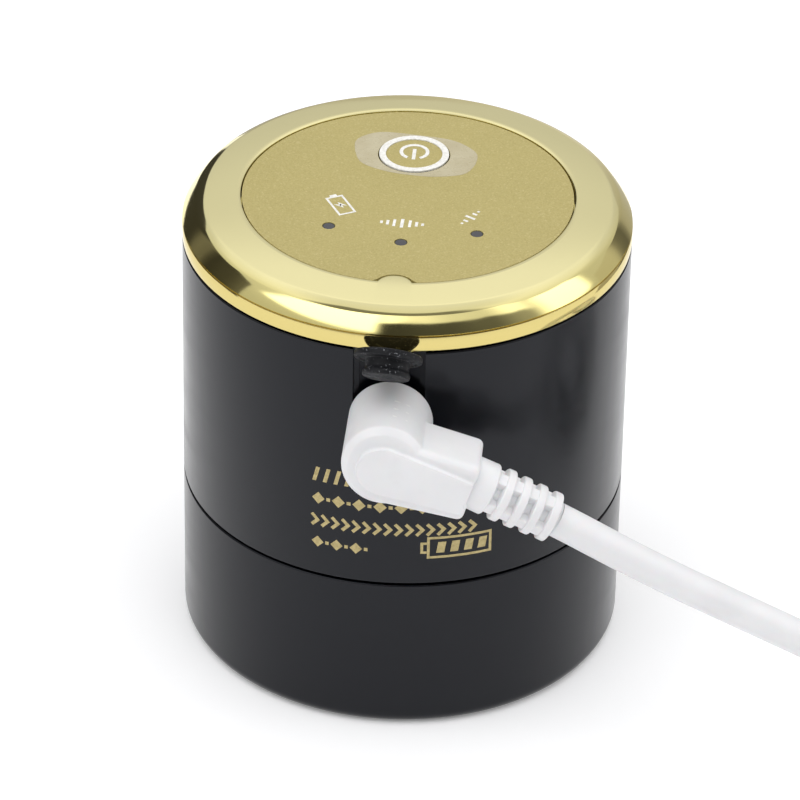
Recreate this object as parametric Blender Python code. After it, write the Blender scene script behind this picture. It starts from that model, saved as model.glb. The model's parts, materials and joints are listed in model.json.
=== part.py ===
"""Facial cleansing brush, standing brush-down on its travel cap, with its charging lead plugged in.

Frame: metres, +Z up, origin at the centre of the travel cap's underside, charging port on -Y.
All the dimensions below are in millimetres and are scaled by MM when the meshes are made.
"""
import math

import bmesh
import bpy
from mathutils import Matrix, Vector

MM = 0.001

# ---------------------------------------------------------------- driving dimensions
BODY_R = 27.5          # outside radius of cap, housing and gold ring
TOTAL_H = 60.0         # cap's underside to the gold ring's inner lip
CAP_H = 21.0           # height of the travel cap
GAP = 0.3              # clearance between pieces that meet
WALL = 2.2             # wall of cap and housing
BORE_R = BODY_R - WALL
CAP_FLOOR = 2.2        # thickness of the cap's floor
HOUSING_Z0 = CAP_H + GAP
HOUSING_Z1 = 54.45
RING_Z0 = HOUSING_Z1 + GAP
PANEL_R = 19.97
PANEL_Z0 = 58.25
PANEL_Z1 = 59.65
RING_BORE_R = 20.37    # opening in the gold ring, round the panel
NOTCH_Y = -20.94       # centre of the round key that stops the panel from turning
KEY_R = 2.1
NOTCH_R = 2.45

BUTTON_Y = 9.8
BUTTON_R = 4.2
BUTTON_HOLE_R = 4.45
LED_SPOTS = {"charge": (-8.95, -8.16), "high": (0.0, -11.05), "low": (8.95, -8.16)}
LED_WINDOW_R = 0.72

JACK_Z = 45.1          # height of the charging port's axis
POCKET_W = 8.7         # recess round the port
POCKET_FLOOR_Y = -26.2
POCKET_Z0 = 40.5
JACK_HOLE_R = 3.4
BARREL_R = 2.75        # 5.5 mm barrel plug with a 2.5 mm bore
BARREL_BORE_R = 1.35

STOPPER_HINGE = (-27.25, 53.25)  # Y and Z of the stopper's living hinge
STOPPER_OPEN = 133.0             # degrees swung out and up from closed
STOPPER_TWIST = 5.0              # degrees the rubber hangs askew
FLANGE_R = 4.05
FLANGE_T = 0.95
KNOB_R = 2.87
KNOB_L = 2.4
FLANGE_REACH = 4.6              # hinge to the flange's centre

PLUG_HEAD_R = 5.25
PLUG_BACK_Y = -27.8
PLUG_FRONT_Y = -38.9
PLUG_ARM_BACK_Y = -31.3
ARM_Y = 0.5 * (PLUG_ARM_BACK_Y + PLUG_FRONT_Y)
RELIEF_START = (10.2, 42.2)     # X and Z where the strain relief leaves the plug's arm
RELIEF_SLOPE = 24.9             # degrees below the horizontal
RELIEF_L = 11.5

CORD_D = 4.2
COIL_CENTRE = (104.0, -7.8)
COIL_RINGS = (19.8, 24.0, 28.2)  # radii of the turns that lie side by side
COIL_Z0 = 0.9                    # underside of the coil, on the strap of its tie
COIL_LAYERS = 2
TIE_T = 0.6
TIE_W = 7.0
TIE_ANGLE = 150.0

CHASSIS_Z0 = 23.5
CHASSIS_Z1 = 25.3
PCB_Z0 = 52.4
PCB_Z1 = 53.6
PCB_R = 22.8
PCB_HALF_W = 19.4
POSTS = ((-15.5, -13.5), (15.5, -13.5), (0.0, 20.4))
POST_R = 2.3
BATTERY = (3.0, 44.95)           # Y and Z of the cell's axis, which lies along X
BATTERY_R = 7.1
BATTERY_HALF_L = 21.2
WIRE_D = 0.8
MOTOR_R = 10.2
MOTOR_Z0 = 25.5
MOTOR_Z1 = 37.3

BRUSH_R = 21.6
DISC_Z0 = 13.6
BRISTLE_TIP_Z = 7.0

BODY_STEPS = 48
SMALL_STEPS = 20


# ---------------------------------------------------------------- materials
def material(name, colour, roughness, metallic=0.0):
    """A Principled material, made once."""
    made = bpy.data.materials.get(name) or bpy.data.materials.new(name)
    made.use_nodes = True
    shader = made.node_tree.nodes["Principled BSDF"]
    shader.inputs["Base Color"].default_value = (*colour, 1.0)
    shader.inputs["Roughness"].default_value = roughness
    shader.inputs["Metallic"].default_value = metallic
    return made


def palette():
    return {
        "black_gloss": material("black_gloss", (0.012, 0.013, 0.015), 0.16),
        "gold_plate": material("gold_plate", (0.86, 0.72, 0.36), 0.10, 1.0),
        "gold_paint": material("gold_paint", (0.42, 0.35, 0.13), 0.45, 0.35),
        "window": material("window", (0.05, 0.05, 0.055), 0.25),
        "black_rubber": material("black_rubber", (0.02, 0.02, 0.021), 0.75),
        "white_pvc": material("white_pvc", (0.82, 0.82, 0.81), 0.42),
        "white_plastic": material("white_plastic", (0.80, 0.80, 0.78), 0.35),
        "grey_plastic": material("grey_plastic", (0.22, 0.22, 0.23), 0.5),
        "steel": material("steel", (0.62, 0.62, 0.64), 0.3, 1.0),
        "brass": material("brass", (0.72, 0.55, 0.25), 0.3, 1.0),
        "circuit_green": material("circuit_green", (0.02, 0.16, 0.06), 0.4),
        "chip_black": material("chip_black", (0.02, 0.02, 0.02), 0.5),
        "cell_wrap": material("cell_wrap", (0.05, 0.22, 0.5), 0.35),
        "wire_red": material("wire_red", (0.55, 0.03, 0.03), 0.45),
        "wire_black": material("wire_black", (0.02, 0.02, 0.02), 0.45),
        "bristle": material("bristle", (0.86, 0.86, 0.84), 0.6),
    }


# ---------------------------------------------------------------- shape helpers
def add(name, bm, finish, at=(0, 0, 0), turn=None, sharp=30.0):
    """A mesh object from a bmesh in millimetres, placed at a point and turned by a matrix."""
    bmesh.ops.remove_doubles(bm, verts=bm.verts, dist=0.0005)
    bmesh.ops.recalc_face_normals(bm, faces=bm.faces)
    bmesh.ops.scale(bm, verts=bm.verts, vec=(MM, MM, MM))
    mesh = bpy.data.meshes.new(name)
    bm.to_mesh(mesh)
    bm.free()
    mesh.shade_smooth()
    mesh.set_sharp_from_angle(angle=math.radians(sharp))
    made = bpy.data.objects.new(name, mesh)
    bpy.context.scene.collection.objects.link(made)
    if finish:
        mesh.materials.append(finish)
    place = Matrix.Translation(Vector(at) * MM)
    made.matrix_world = place @ turn.to_4x4() if turn else place
    return made


def rounded(points):
    """Outline points, where a third number on a point is the radius of the arc that rounds it."""
    out = []
    count = len(points)
    for i, point in enumerate(points):
        here = Vector(point[:2])
        radius = point[2] if len(point) > 2 else 0.0
        if not radius:
            out.append(tuple(here))
            continue
        back = (Vector(points[i - 1][:2]) - here).normalized()
        on = (Vector(points[(i + 1) % count][:2]) - here).normalized()
        half = math.acos(max(-1.0, min(1.0, back.dot(on)))) / 2
        reach = radius / math.tan(half)
        centre = here + (back + on).normalized() * (radius / math.sin(half))
        start = here + back * reach - centre
        sweep = start.angle_signed(here + on * reach - centre)
        steps = 1 if radius < 0.5 else max(2, round(abs(math.degrees(sweep)) / 22))
        for k in range(steps + 1):
            turned_by = -sweep * k / steps
            c, s = math.cos(turned_by), math.sin(turned_by)
            out.append((centre.x + c * start.x - s * start.y, centre.y + s * start.x + c * start.y))
    return out


def turned(name, profile, finish, steps=SMALL_STEPS, at=(0, 0, 0), turn=None, closed=True):
    """A solid of revolution about Z. An open profile begins and ends on the axis."""
    bm = bmesh.new()
    ring = [bm.verts.new((r, 0.0, z)) for r, z in rounded(profile)]
    edges = [bm.edges.new(pair) for pair in zip(ring, ring[1:])]
    if closed:
        edges.append(bm.edges.new((ring[-1], ring[0])))
    bmesh.ops.spin(
        bm, geom=edges, cent=(0, 0, 0), axis=(0, 0, 1), angle=math.tau, steps=steps, use_merge=True
    )
    return add(name, bm, finish, at, turn)


def rod(name, radius, z0, z1, finish, at=(0, 0), steps=SMALL_STEPS, turn=None, chamfer=0.0):
    """A plain round bar from z0 to z1, with the edge of each end broken if asked."""
    c = chamfer
    profile = [(0, z0), (radius - c, z0), (radius, z0 + c), (radius, z1 - c), (radius - c, z1), (0, z1)]
    if not c:
        profile = [(0, z0), (radius, z0), (radius, z1), (0, z1)]
    return turned(name, profile, finish, steps, (*at, 0.0), turn, closed=False)


def pipe(name, outer, bore, z0, z1, finish, at=(0, 0, 0), steps=SMALL_STEPS, turn=None):
    return turned(name, [(outer, z1), (outer, z0), (bore, z0), (bore, z1)], finish, steps, at, turn)


def block(name, low, high, finish, bevel=0.0, at=(0, 0, 0), turn=None):
    """A box between two corners, with its edges rounded if asked."""
    bm = bmesh.new()
    bmesh.ops.create_cube(bm, size=1.0)
    size = [h - l for l, h in zip(low, high)]
    middle = [(h + l) / 2 for l, h in zip(low, high)]
    bmesh.ops.scale(bm, verts=bm.verts, vec=size)
    bmesh.ops.translate(bm, verts=bm.verts, vec=middle)
    if bevel:
        bmesh.ops.bevel(bm, geom=bm.edges, offset=bevel, segments=2, profile=0.5, affect="EDGES")
    return add(name, bm, finish, at, turn)


def prism(name, outline, z0, z1, finish, at=(0, 0, 0), turn=None, edge=0.0):
    """An outline in the XY plane pulled up from z0 to z1. edge chamfers the top rim."""
    bm = bmesh.new()
    base = bm.faces.new([bm.verts.new((x, y, z0)) for x, y in outline])
    pulled = bmesh.ops.extrude_face_region(bm, geom=[base])["geom"]
    top = [item for item in pulled if isinstance(item, bmesh.types.BMVert)]
    bmesh.ops.translate(bm, verts=top, vec=(0, 0, z1 - z0))
    if edge:
        rim = [e for e in bm.edges if all(abs(v.co.z - z1) < 1e-6 for v in e.verts)]
        bmesh.ops.bevel(bm, geom=rim, offset=edge, segments=1, affect="EDGES")
    return add(name, bm, finish, at, turn)


def arc(radius, start, end, steps, centre=(0.0, 0.0)):
    """Points on an arc, in degrees counter-clockwise."""
    spread = [math.radians(start + (end - start) * k / steps) for k in range(steps + 1)]
    return [(centre[0] + radius * math.cos(a), centre[1] + radius * math.sin(a)) for a in spread]


def combine(target, tool, operation):
    """A Boolean that keeps the tool as a hidden cutter."""
    tool.hide_render = True
    tool.display_type = "WIRE"
    tool.hide_set(True)
    step = target.modifiers.new(operation.lower() + "_" + tool.name, "BOOLEAN")
    step.operation = operation
    step.solver = "EXACT"
    step.object = tool
    return target


def cut(target, *tools):
    for tool in tools:
        combine(target, tool, "DIFFERENCE")
    return target


def join(target, *tools):
    for tool in tools:
        combine(target, tool, "UNION")
    return target


def smooth_route(route, spacing):
    """Even points along the Catmull-Rom curve through a route's points."""
    ends = [2 * Vector(route[0]) - Vector(route[1]), 2 * Vector(route[-1]) - Vector(route[-2])]
    knots = [ends[0], *map(Vector, route), ends[1]]
    fine = []
    for p0, p1, p2, p3 in zip(knots, knots[1:], knots[2:], knots[3:]):
        for k in range(24):
            t = k / 24
            fine.append(
                0.5 * (2 * p1 + (p2 - p0) * t + (2 * p0 - 5 * p1 + 4 * p2 - p3) * t**2
                       + (3 * p1 - p0 - 3 * p2 + p3) * t**3)
            )
    fine.append(knots[-2])
    lengths = [0.0]
    for a, b in zip(fine, fine[1:]):
        lengths.append(lengths[-1] + (b - a).length)
    count = max(2, round(lengths[-1] / spacing))
    even = []
    k = 0
    for i in range(count + 1):
        want = lengths[-1] * i / count
        while k < len(fine) - 2 and lengths[k + 1] < want:
            k += 1
        share = (want - lengths[k]) / max(lengths[k + 1] - lengths[k], 1e-9)
        even.append(fine[k].lerp(fine[k + 1], min(1.0, share)))
    return even


def cable(name, route, diameter, finish, spacing=None, sides=2):
    """A round cable along a route in millimetres."""
    points = smooth_route(route, spacing or 2.5 * diameter)
    data = bpy.data.curves.new(name, "CURVE")
    data.dimensions = "3D"
    data.bevel_depth = diameter / 2 * MM
    data.bevel_resolution = sides
    data.use_fill_caps = True
    line = data.splines.new("POLY")
    line.points.add(len(points) - 1)
    for spot, point in zip(line.points, points):
        spot.co = (*(point * MM), 1.0)
    data.materials.append(finish)
    made = bpy.data.objects.new(name, data)
    bpy.context.scene.collection.objects.link(made)
    return made


def pivot(name, at):
    """An empty on a joint's axis, which carries that joint's pieces."""
    made = bpy.data.objects.new(name, None)
    bpy.context.scene.collection.objects.link(made)
    made.location = Vector(at) * MM
    return made


def carry(empty, *pieces):
    """Parent pieces to an empty without moving them."""
    for piece in pieces:
        piece.parent = empty
        piece.matrix_parent_inverse = empty.matrix_basis.inverted()


TOWARD_FRONT = Matrix.Rotation(math.radians(90), 3, "X")     # local +Z to world -Y
ALONG_X = Matrix.Rotation(math.radians(90), 3, "Y")          # local +Z to world +X


def around(count, radius, start=0.0):
    """Evenly spaced spots on a circle, from an angle in degrees."""
    angles = [math.radians(start + 360 * k / count) for k in range(count)]
    return [(radius * math.cos(a), radius * math.sin(a)) for a in angles]


# ---------------------------------------------------------------- travel cap
def make_travel_cap(mat):
    return turned(
        "travel_cap",
        [
            (0, 0), (BODY_R, 0, 1.6), (BODY_R, CAP_H, 0.25), (BORE_R, CAP_H),
            (BORE_R, CAP_FLOOR + 1.2), (BORE_R - 1.2, CAP_FLOOR), (0, CAP_FLOOR),
        ],
        mat["black_gloss"], BODY_STEPS, closed=False,
    )


# ---------------------------------------------------------------- housing
def make_housing_sleeve(mat):
    sleeve = turned(
        "housing_sleeve",
        [(BODY_R, HOUSING_Z1, 0.25), (BODY_R, HOUSING_Z0, 0.25), (BORE_R, HOUSING_Z0), (BORE_R, HOUSING_Z1)],
        mat["black_gloss"], BODY_STEPS,
    )
    half = POCKET_W / 2
    outline = [(-half, HOUSING_Z1 + 2), (-half, JACK_Z)]
    outline += arc(half, 180, 360, 14, (0.0, JACK_Z))[1:-1]
    outline += [(half, JACK_Z), (half, HOUSING_Z1 + 2)]
    pocket = prism("pocket_cutter", outline, -POCKET_FLOOR_Y, BODY_R + 3, None, turn=TOWARD_FRONT)
    hole = rod("jack_hole_cutter", JACK_HOLE_R, 20, BODY_R + 3, None, steps=24, turn=TOWARD_FRONT)
    hole.location.z = JACK_Z * MM
    slot = block("anchor_slot_cutter", (-2.8, -28, 52.3), (2.8, -23, HOUSING_Z1 + 2), None)
    return cut(sleeve, pocket, hole, slot)


def make_gold_trim_ring(mat):
    """Plated ring: a gently coned top, a steep chamfer and a short upright band, on a skirt inside the housing."""
    ring = turned(
        "gold_trim_ring",
        [
            (RING_BORE_R, TOTAL_H - 0.25), (RING_BORE_R + 0.3, TOTAL_H), (24.95, 59.48), (25.85, 59.0),
            (BODY_R, 56.85), (BODY_R, RING_Z0), (25.0, RING_Z0), (25.0, 52.4), (23.8, 52.4), (23.8, 56.4),
            (23.0, 57.2), (18.4, 57.2), (18.4, 57.95), (RING_BORE_R, 57.95),
        ],
        mat["gold_plate"], BODY_STEPS,
    )
    key = turned(
        "key_tool", [(0, 57.6), (KEY_R, 57.6), (KEY_R, TOTAL_H - 0.25), (KEY_R - 0.25, TOTAL_H), (0, TOTAL_H)],
        None, 24, (0, NOTCH_Y, 0), closed=False,
    )
    relief = block("skirt_cutter", (-4.4, -27.0, 50), (4.4, -22.0, RING_Z0 - 0.02), None)
    return cut(join(ring, key), relief)


def make_control_panel(mat):
    panel = turned(
        "control_panel",
        [(0, PANEL_Z0), (PANEL_R, PANEL_Z0), (PANEL_R, PANEL_Z1 - 0.12), (PANEL_R - 0.12, PANEL_Z1), (0, PANEL_Z1)],
        mat["gold_paint"], BODY_STEPS, closed=False,
    )
    notch = rod("notch_cutter", NOTCH_R, 57, 61, None, (0, NOTCH_Y), 24)
    opening = rod("button_hole_cutter", BUTTON_HOLE_R, 57, 61, None, (0, BUTTON_Y), 32)
    cut(panel, notch, opening)
    for name, spot in LED_SPOTS.items():
        cut(panel, rod("led_hole_cutter_" + name, LED_WINDOW_R + 0.2, 57, 61, None, spot, 16))
    return panel


def make_led_windows(mat):
    return [
        rod("led_window_" + name, LED_WINDOW_R, 55.0, PANEL_Z1 - 0.05, mat["window"], spot, 16)
        for name, spot in LED_SPOTS.items()
    ]


def make_base_plate(mat):
    """Floor of the housing, with the spigot that the travel cap fits over and its seal groove."""
    plate = turned(
        "base_plate",
        [
            (25.0, 23.2), (25.0, 21.4), (24.7, 21.4), (24.7, 20.2), (24.1, 20.2), (24.1, 19.0),
            (24.7, 19.0), (24.7, 17.2), (22.9, 17.2), (22.9, 21.3), (9.9, 21.3), (9.9, 23.2),
        ],
        mat["black_gloss"], 32,
    )
    for k, spot in enumerate(around(3, 18.6, 30)):
        cut(plate, rod("base_hole_cutter_%d" % k, 1.1, 20, 26, None, spot, 12))
    return plate


def make_seals(mat):
    ring = turned(
        "cap_seal_ring", [(24.75 + 0.42 * x, 19.6 + 0.42 * y) for x, y in arc(1.0, 0, 300, 5)],
        mat["black_rubber"], 28,
    )
    collar = pipe("hub_seal", 9.6, 6.8, 21.5, 23.0, mat["black_rubber"], steps=32)
    return [ring, collar]


def make_base_screws(mat):
    return [screw("base_screw_%d" % (k + 1), 1.8, 0.8, 19.9, 21.0, 24.9, mat["steel"], spot)
            for k, spot in enumerate(around(3, 18.6, 30))]


def screw(name, head_r, shank_r, head_z0, head_z1, tip_z, finish, at):
    """A screw whose head lies between head_z0 and head_z1 and whose shank ends at tip_z."""
    up = tip_z > head_z1
    near, far = (head_z1, head_z0) if up else (head_z0, head_z1)
    recess = 0.5 if up else -0.5
    profile = [
        (0, tip_z), (shank_r, tip_z), (shank_r, near), (head_r, near), (head_r, far),
        (0.7, far), (0.7, far + recess), (0, far + recess),
    ]
    return turned(name, profile, finish, 12, (*at, 0.0), closed=False)


# ---------------------------------------------------------------- inside the housing
def make_inner_chassis(mat):
    """Carrier for motor, cell and circuit board: a ring, two cell ends and three posts."""
    base = pipe("inner_chassis", 24.6, 13.0, CHASSIS_Z0, CHASSIS_Z1, mat["grey_plastic"], steps=36)
    for side in (-1, 1):
        x0, x1 = sorted((side * 22.65, side * 23.55))
        join(base, block("cell_end_tool_%d" % (side + 1), (x0, -3, 24.4), (x1, 8, 50.5), None))
    for k, spot in enumerate(POSTS):
        join(base, rod("post_tool_%d" % k, POST_R, 24.4, PCB_Z0 - GAP, None, spot, 16))
        cut(base, rod("post_hole_cutter_%d" % k, 1.2, 46.0, PCB_Z0 + 2, None, spot, 12))
    for k, spot in enumerate(around(2, 14.6, 90)):
        cut(base, rod("bracket_hole_cutter_%d" % k, 1.1, 22, 27, None, spot, 12))
    for k, spot in enumerate(around(3, 18.6, 30)):
        cut(base, rod("chassis_hole_cutter_%d" % k, 1.1, 22, 27, None, spot, 12))
    return base


def make_battery(mat):
    y, z = BATTERY
    half = BATTERY_HALF_L
    cell = turned(
        "battery_cell",
        [(0, -half), (BATTERY_R - 0.5, -half), (BATTERY_R, -half + 0.5), (BATTERY_R, half - 0.5),
         (BATTERY_R - 0.5, half), (0, half)],
        mat["cell_wrap"], 28, (0, y, z), ALONG_X, closed=False,
    )
    tabs = []
    for name, side in (("left", -1), ("right", 1)):
        x0, x1 = sorted((side * 21.5, side * 21.8))
        tabs.append(block("battery_tab_" + name, (x0, y - 2.5, z - 3), (x1, y + 2.5, z + 3), mat["steel"]))
    return [cell, *tabs]


def make_wires(mat):
    """Leads from the cell, the motor and the charging jack to the circuit board."""
    y, z = BATTERY
    made = []
    for name, side in (("red", 1), ("black", -1)):
        finish = mat["wire_" + name]
        made.append(cable(
            "battery_wire_" + name,
            [(side * 22.0, y, z + 3.3), (side * 21.8, y, 51.5), (side * 20.6, y, 54.0), (side * 16.5, y, 54.35)],
            WIRE_D, finish, 1.5,
        ))
        made.append(cable("motor_wire_" + name, [(side * 3, -8, 37.8), (side * 3, -8.2, 45), (side * 3, -8, 52.0)],
                          WIRE_D, finish, 4.0))
        made.append(cable("jack_wire_" + name, [(side * 2, -11.3, 42.6), (side * 2, -10.7, 44.5),
                                                (side * 2, -10.6, 52.0)], WIRE_D, finish, 3.0))
    return made


def make_motor(mat):
    can = turned(
        "motor_can",
        [(0, 29.0), (1.4, 29.0), (1.4, MOTOR_Z0), (MOTOR_R, MOTOR_Z0), (MOTOR_R, MOTOR_Z1 - 0.6),
         (MOTOR_R - 0.6, MOTOR_Z1), (0, MOTOR_Z1)],
        mat["steel"], 32, closed=False,
    )
    bracket = turned(
        "motor_bracket",
        [(16.5, 27.0), (16.5, 25.6), (10.5, 25.6), (10.5, 33.0), (12.2, 33.0), (12.2, 27.0)],
        mat["grey_plastic"], 32,
    )
    screws = []
    for k, spot in enumerate(around(2, 14.6, 90)):
        cut(bracket, rod("bracket_slot_cutter_%d" % k, 1.1, 24, 29, None, spot, 12))
        screws.append(screw("bracket_screw_%d" % (k + 1), 1.6, 0.8, 27.3, 28.3, 23.8, mat["steel"], spot))
    shaft = rod("motor_shaft", 1.0, 18.3, 28.5, mat["steel"], steps=12)
    outline = arc(4.7, -90, 90, 12) + arc(2.6, 90, 270, 10)
    weight = prism("eccentric_weight", outline, 18.6, 24.4, mat["steel"])
    cut(weight, rod("weight_bore_cutter", 1.3, 17, 26, None, steps=12))
    return [can, bracket, *screws, shaft, weight]


def make_drive_hub(mat):
    """Cup that the motor shakes. Its three lugs hold the brush head by a quarter-turn catch."""
    hub = turned(
        "drive_hub",
        [(0, 15.0), (5.9, 15.0), (6.5, 15.6), (6.5, 23.4), (12.4, 23.4), (12.4, 25.2), (5.3, 25.2),
         (5.3, 17.0), (0, 17.0)],
        mat["grey_plastic"], 32, closed=False,
    )
    for k in range(3):
        spin = Matrix.Rotation(math.radians(120 * k), 3, "Z")
        join(hub, block("lug_tool_%d" % k, (5.8, -1.5, 17.4), (8.3, 1.5, 18.9), None, turn=spin))
    return hub


def make_circuit(mat):
    board = rod("control_pcb", PCB_R, PCB_Z0, PCB_Z1, mat["circuit_green"], steps=40)
    for side in (-1, 1):
        x0, x1 = sorted((side * PCB_HALF_W, side * 30))
        cut(board, block("board_side_cutter_%d" % (side + 1), (x0, -30, 50), (x1, 30, 56), None))
    for k, spot in enumerate(POSTS):
        cut(board, rod("board_hole_cutter_%d" % k, 1.2, 50, 56, None, spot, 12))
    low = PCB_Z1 + 0.2
    switch = block("tact_switch", (-3, BUTTON_Y - 3, low), (3, BUTTON_Y + 3, 57.0), mat["chip_black"])
    cut(switch, rod("plunger_hole_cutter", 1.95, 55.2, 58, None, (0, BUTTON_Y), 16))
    chips = [
        block("mcu_chip", (4.5, -3.5, low), (9.5, 1.5, low + 1.0), mat["chip_black"]),
        block("charge_ic", (-9, -4, low), (-5.5, -0.5, low + 0.9), mat["chip_black"]),
        turned("filter_capacitor", [(0, low), (2, low), (2, 57.0), (0, 57.0)], mat["steel"], 16,
               (-9.5, 7.5, 0), closed=False),
    ]
    leds = [
        block("led_chip_" + name, (x - 0.8, y - 0.6, low), (x + 0.8, y + 0.6, low + 0.7), mat["white_plastic"])
        for name, (x, y) in LED_SPOTS.items()
    ]
    screws = [screw("pcb_screw_%d" % (k + 1), 1.9, 0.8, PCB_Z1 + 0.3, PCB_Z1 + 1.4, 46.6, mat["steel"], spot)
              for k, spot in enumerate(POSTS)]
    return [board, switch, *chips, *leds, *screws]


def make_dc_jack(mat):
    """Round charging socket. Its pin runs through the back wall."""
    front, back = -24.5, -12.2
    body = block("dc_jack_body", (-4.5, front, JACK_Z - 5.2), (4.5, back, JACK_Z + 5.3), mat["chip_black"])
    bore = rod("jack_bore_cutter", 3.05, 15.0, 26, None, steps=24, turn=TOWARD_FRONT)
    back_hole = rod("jack_back_cutter", 1.25, 10, 16, None, steps=12, turn=TOWARD_FRONT)
    for tool in (bore, back_hole):
        tool.location.z = JACK_Z * MM
    cut(body, bore, back_hole)
    pin = rod("dc_jack_pin", 0.95, 12.0, 24.0, mat["brass"], steps=12, turn=TOWARD_FRONT)
    pin.location.z = JACK_Z * MM
    return [body, pin]


# ---------------------------------------------------------------- power button
def make_button(mat):
    cap = turned(
        "button_cap",
        [(0, 58.0), (1.5, 58.0), (1.5, 58.55), (BUTTON_R, 58.55), (BUTTON_R, 59.8), (BUTTON_R - 0.3, 60.0),
         (0, 60.05)],
        mat["gold_paint"], 32, (0, BUTTON_Y, 0), closed=False,
    )
    plunger = rod("switch_plunger", 1.6, 55.7, 57.7, mat["white_plastic"], (0, BUTTON_Y), 16)
    return [cap, plunger]


# ---------------------------------------------------------------- brush head
def make_brush_head(mat):
    disc = turned(
        "brush_disc",
        [
            (0, 14.7), (8.7, 14.7), (8.7, 19.3), (6.9, 19.3), (6.9, 20.6), (11.0, 20.6), (11.0, 16.8),
            (BRUSH_R - 0.6, 16.8), (BRUSH_R, 16.2), (BRUSH_R, DISC_Z0 + 0.5), (BRUSH_R - 0.5, DISC_Z0), (0, DISC_Z0),
        ],
        mat["white_plastic"], 36, closed=False,
    )
    for k in range(3):
        spin = Matrix.Rotation(math.radians(120 * k - 30), 3, "Z")
        cut(disc, block("entry_cutter_%d" % k, (6.0, -1.9, 19.0), (8.6, 1.9, 21.0), None, turn=spin))
    outer = pipe("bristle_field_outer", 21.0, 12.4, BRISTLE_TIP_Z, DISC_Z0 - GAP, mat["bristle"], steps=32)
    inner = rod("bristle_field_inner", 11.6, BRISTLE_TIP_Z + 0.4, DISC_Z0 - GAP, mat["bristle"], steps=28)
    return [disc, outer, inner]


# ---------------------------------------------------------------- port stopper
def make_stopper(mat):
    """Rubber stopper, drawn closed and hanging from its hinge, then swung out to its open place."""
    y, z = STOPPER_HINGE
    swing = Matrix.Rotation(math.radians(-STOPPER_OPEN), 3, "X")
    swing = Matrix.Rotation(math.radians(STOPPER_TWIST), 3, "Y") @ swing
    centre = -FLANGE_REACH
    outline = arc(FLANGE_R, 0, 360, 26, (0.0, centre))[:-1]
    flange = prism("port_stopper", outline, -FLANGE_T, 0.0, mat["black_rubber"], (0, y, z),
                   swing @ TOWARD_FRONT)
    strap = block("strap_tool", (-2.4, 0.1, centre + 2.0), (2.4, FLANGE_T - 0.2, -0.1), None, at=(0, y, z), turn=swing)
    knob = turned(
        "knob_tool",
        [(0, -FLANGE_T - KNOB_L), (KNOB_R - 0.4, -FLANGE_T - KNOB_L), (KNOB_R, -FLANGE_T - KNOB_L + 0.4),
         (KNOB_R, -FLANGE_T + 0.4), (0, -FLANGE_T + 0.4)],
        None, 22, closed=False,
    )
    knob.matrix_world = (
        Matrix.Translation(Vector((0, y, z)) * MM) @ (swing @ TOWARD_FRONT).to_4x4()
        @ Matrix.Translation(Vector((0, centre, 0)) * MM)
    )
    return join(flange, strap, knob)


def make_stopper_anchor(mat):
    anchor = block("stopper_anchor", (-2.4, -26.5, 52.8), (2.4, -24.4, 53.9), mat["black_rubber"])
    return join(anchor, block("anchor_head_tool", (-3.6, -24.75, 52.4), (3.6, -23.7, 54.2), None))


# ---------------------------------------------------------------- charging plug
def make_plug(mat):
    """Right-angle plug: a round head on the port's axis and a tapering arm to the strain relief."""
    head = turned(
        "plug_head",
        [(0, -PLUG_BACK_Y - 1.4), (3.2, -PLUG_BACK_Y - 1.4), (3.2, -PLUG_BACK_Y), (PLUG_HEAD_R - 0.3, -PLUG_BACK_Y),
         (PLUG_HEAD_R, -PLUG_BACK_Y + 0.3), (PLUG_HEAD_R, -PLUG_FRONT_Y - 1.1), (PLUG_HEAD_R - 1.6, -PLUG_FRONT_Y),
         (0, -PLUG_FRONT_Y)],
        mat["white_pvc"], 32, (0, 0, JACK_Z), TOWARD_FRONT, closed=False,
    )
    outline = [(0.0, -5.0), (9.05, -6.75), (11.05, 0.45), (2.0, 3.4), (0.0, 3.0)]
    arm = prism("arm_tool", outline, -PLUG_ARM_BACK_Y, -PLUG_FRONT_Y, None, (0, 0, JACK_Z), TOWARD_FRONT, edge=1.1)
    join(head, arm)
    barrel = pipe("plug_barrel", BARREL_R, BARREL_BORE_R, 17.2, 25.9, mat["steel"], (0, 0, JACK_Z), 20, TOWARD_FRONT)
    return [head, barrel]


def make_strain_relief(mat):
    """Collar and four rings on a flexible core, tapering to the cord."""
    profile = [(0, 0.8), (3.2, 0.8), (3.2, 2.9), (2.5, 3.2)]
    for k in range(4):
        start = 3.9 + 2.06 * k
        radius = 3.22 - 0.06 * k
        profile += [(2.45, start), (radius, start + 0.25), (radius, start + 1.0), (2.45, start + 1.25)]
    profile += [(2.3, RELIEF_L), (0, RELIEF_L)]
    lean = Matrix.Rotation(math.radians(90 + RELIEF_SLOPE), 3, "Y")
    x, z = RELIEF_START
    return turned("strain_relief", profile, mat["white_pvc"], 16, (x, ARM_Y, z), lean, closed=False)


# ---------------------------------------------------------------- charging cord
def relief_end(extra=0.0):
    x, z = RELIEF_START
    reach = RELIEF_L + extra
    lean = math.radians(RELIEF_SLOPE)
    return (x + reach * math.cos(lean), ARM_Y, z - reach * math.sin(lean))


CORD_ROUTE = [
    (23.6, -35.1, 35.75),
    (27.9, -35.1, 33.35),
    (36.0, -35.1, 29.1),
    (50.3, -35.2, 22.3),
    (62.0, -35.5, 16.6),
    (74.0, -36.0, 11.0),
    (80.0, -36.0, 8.2),
    (86.3, -36.0, 5.6),
]


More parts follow.
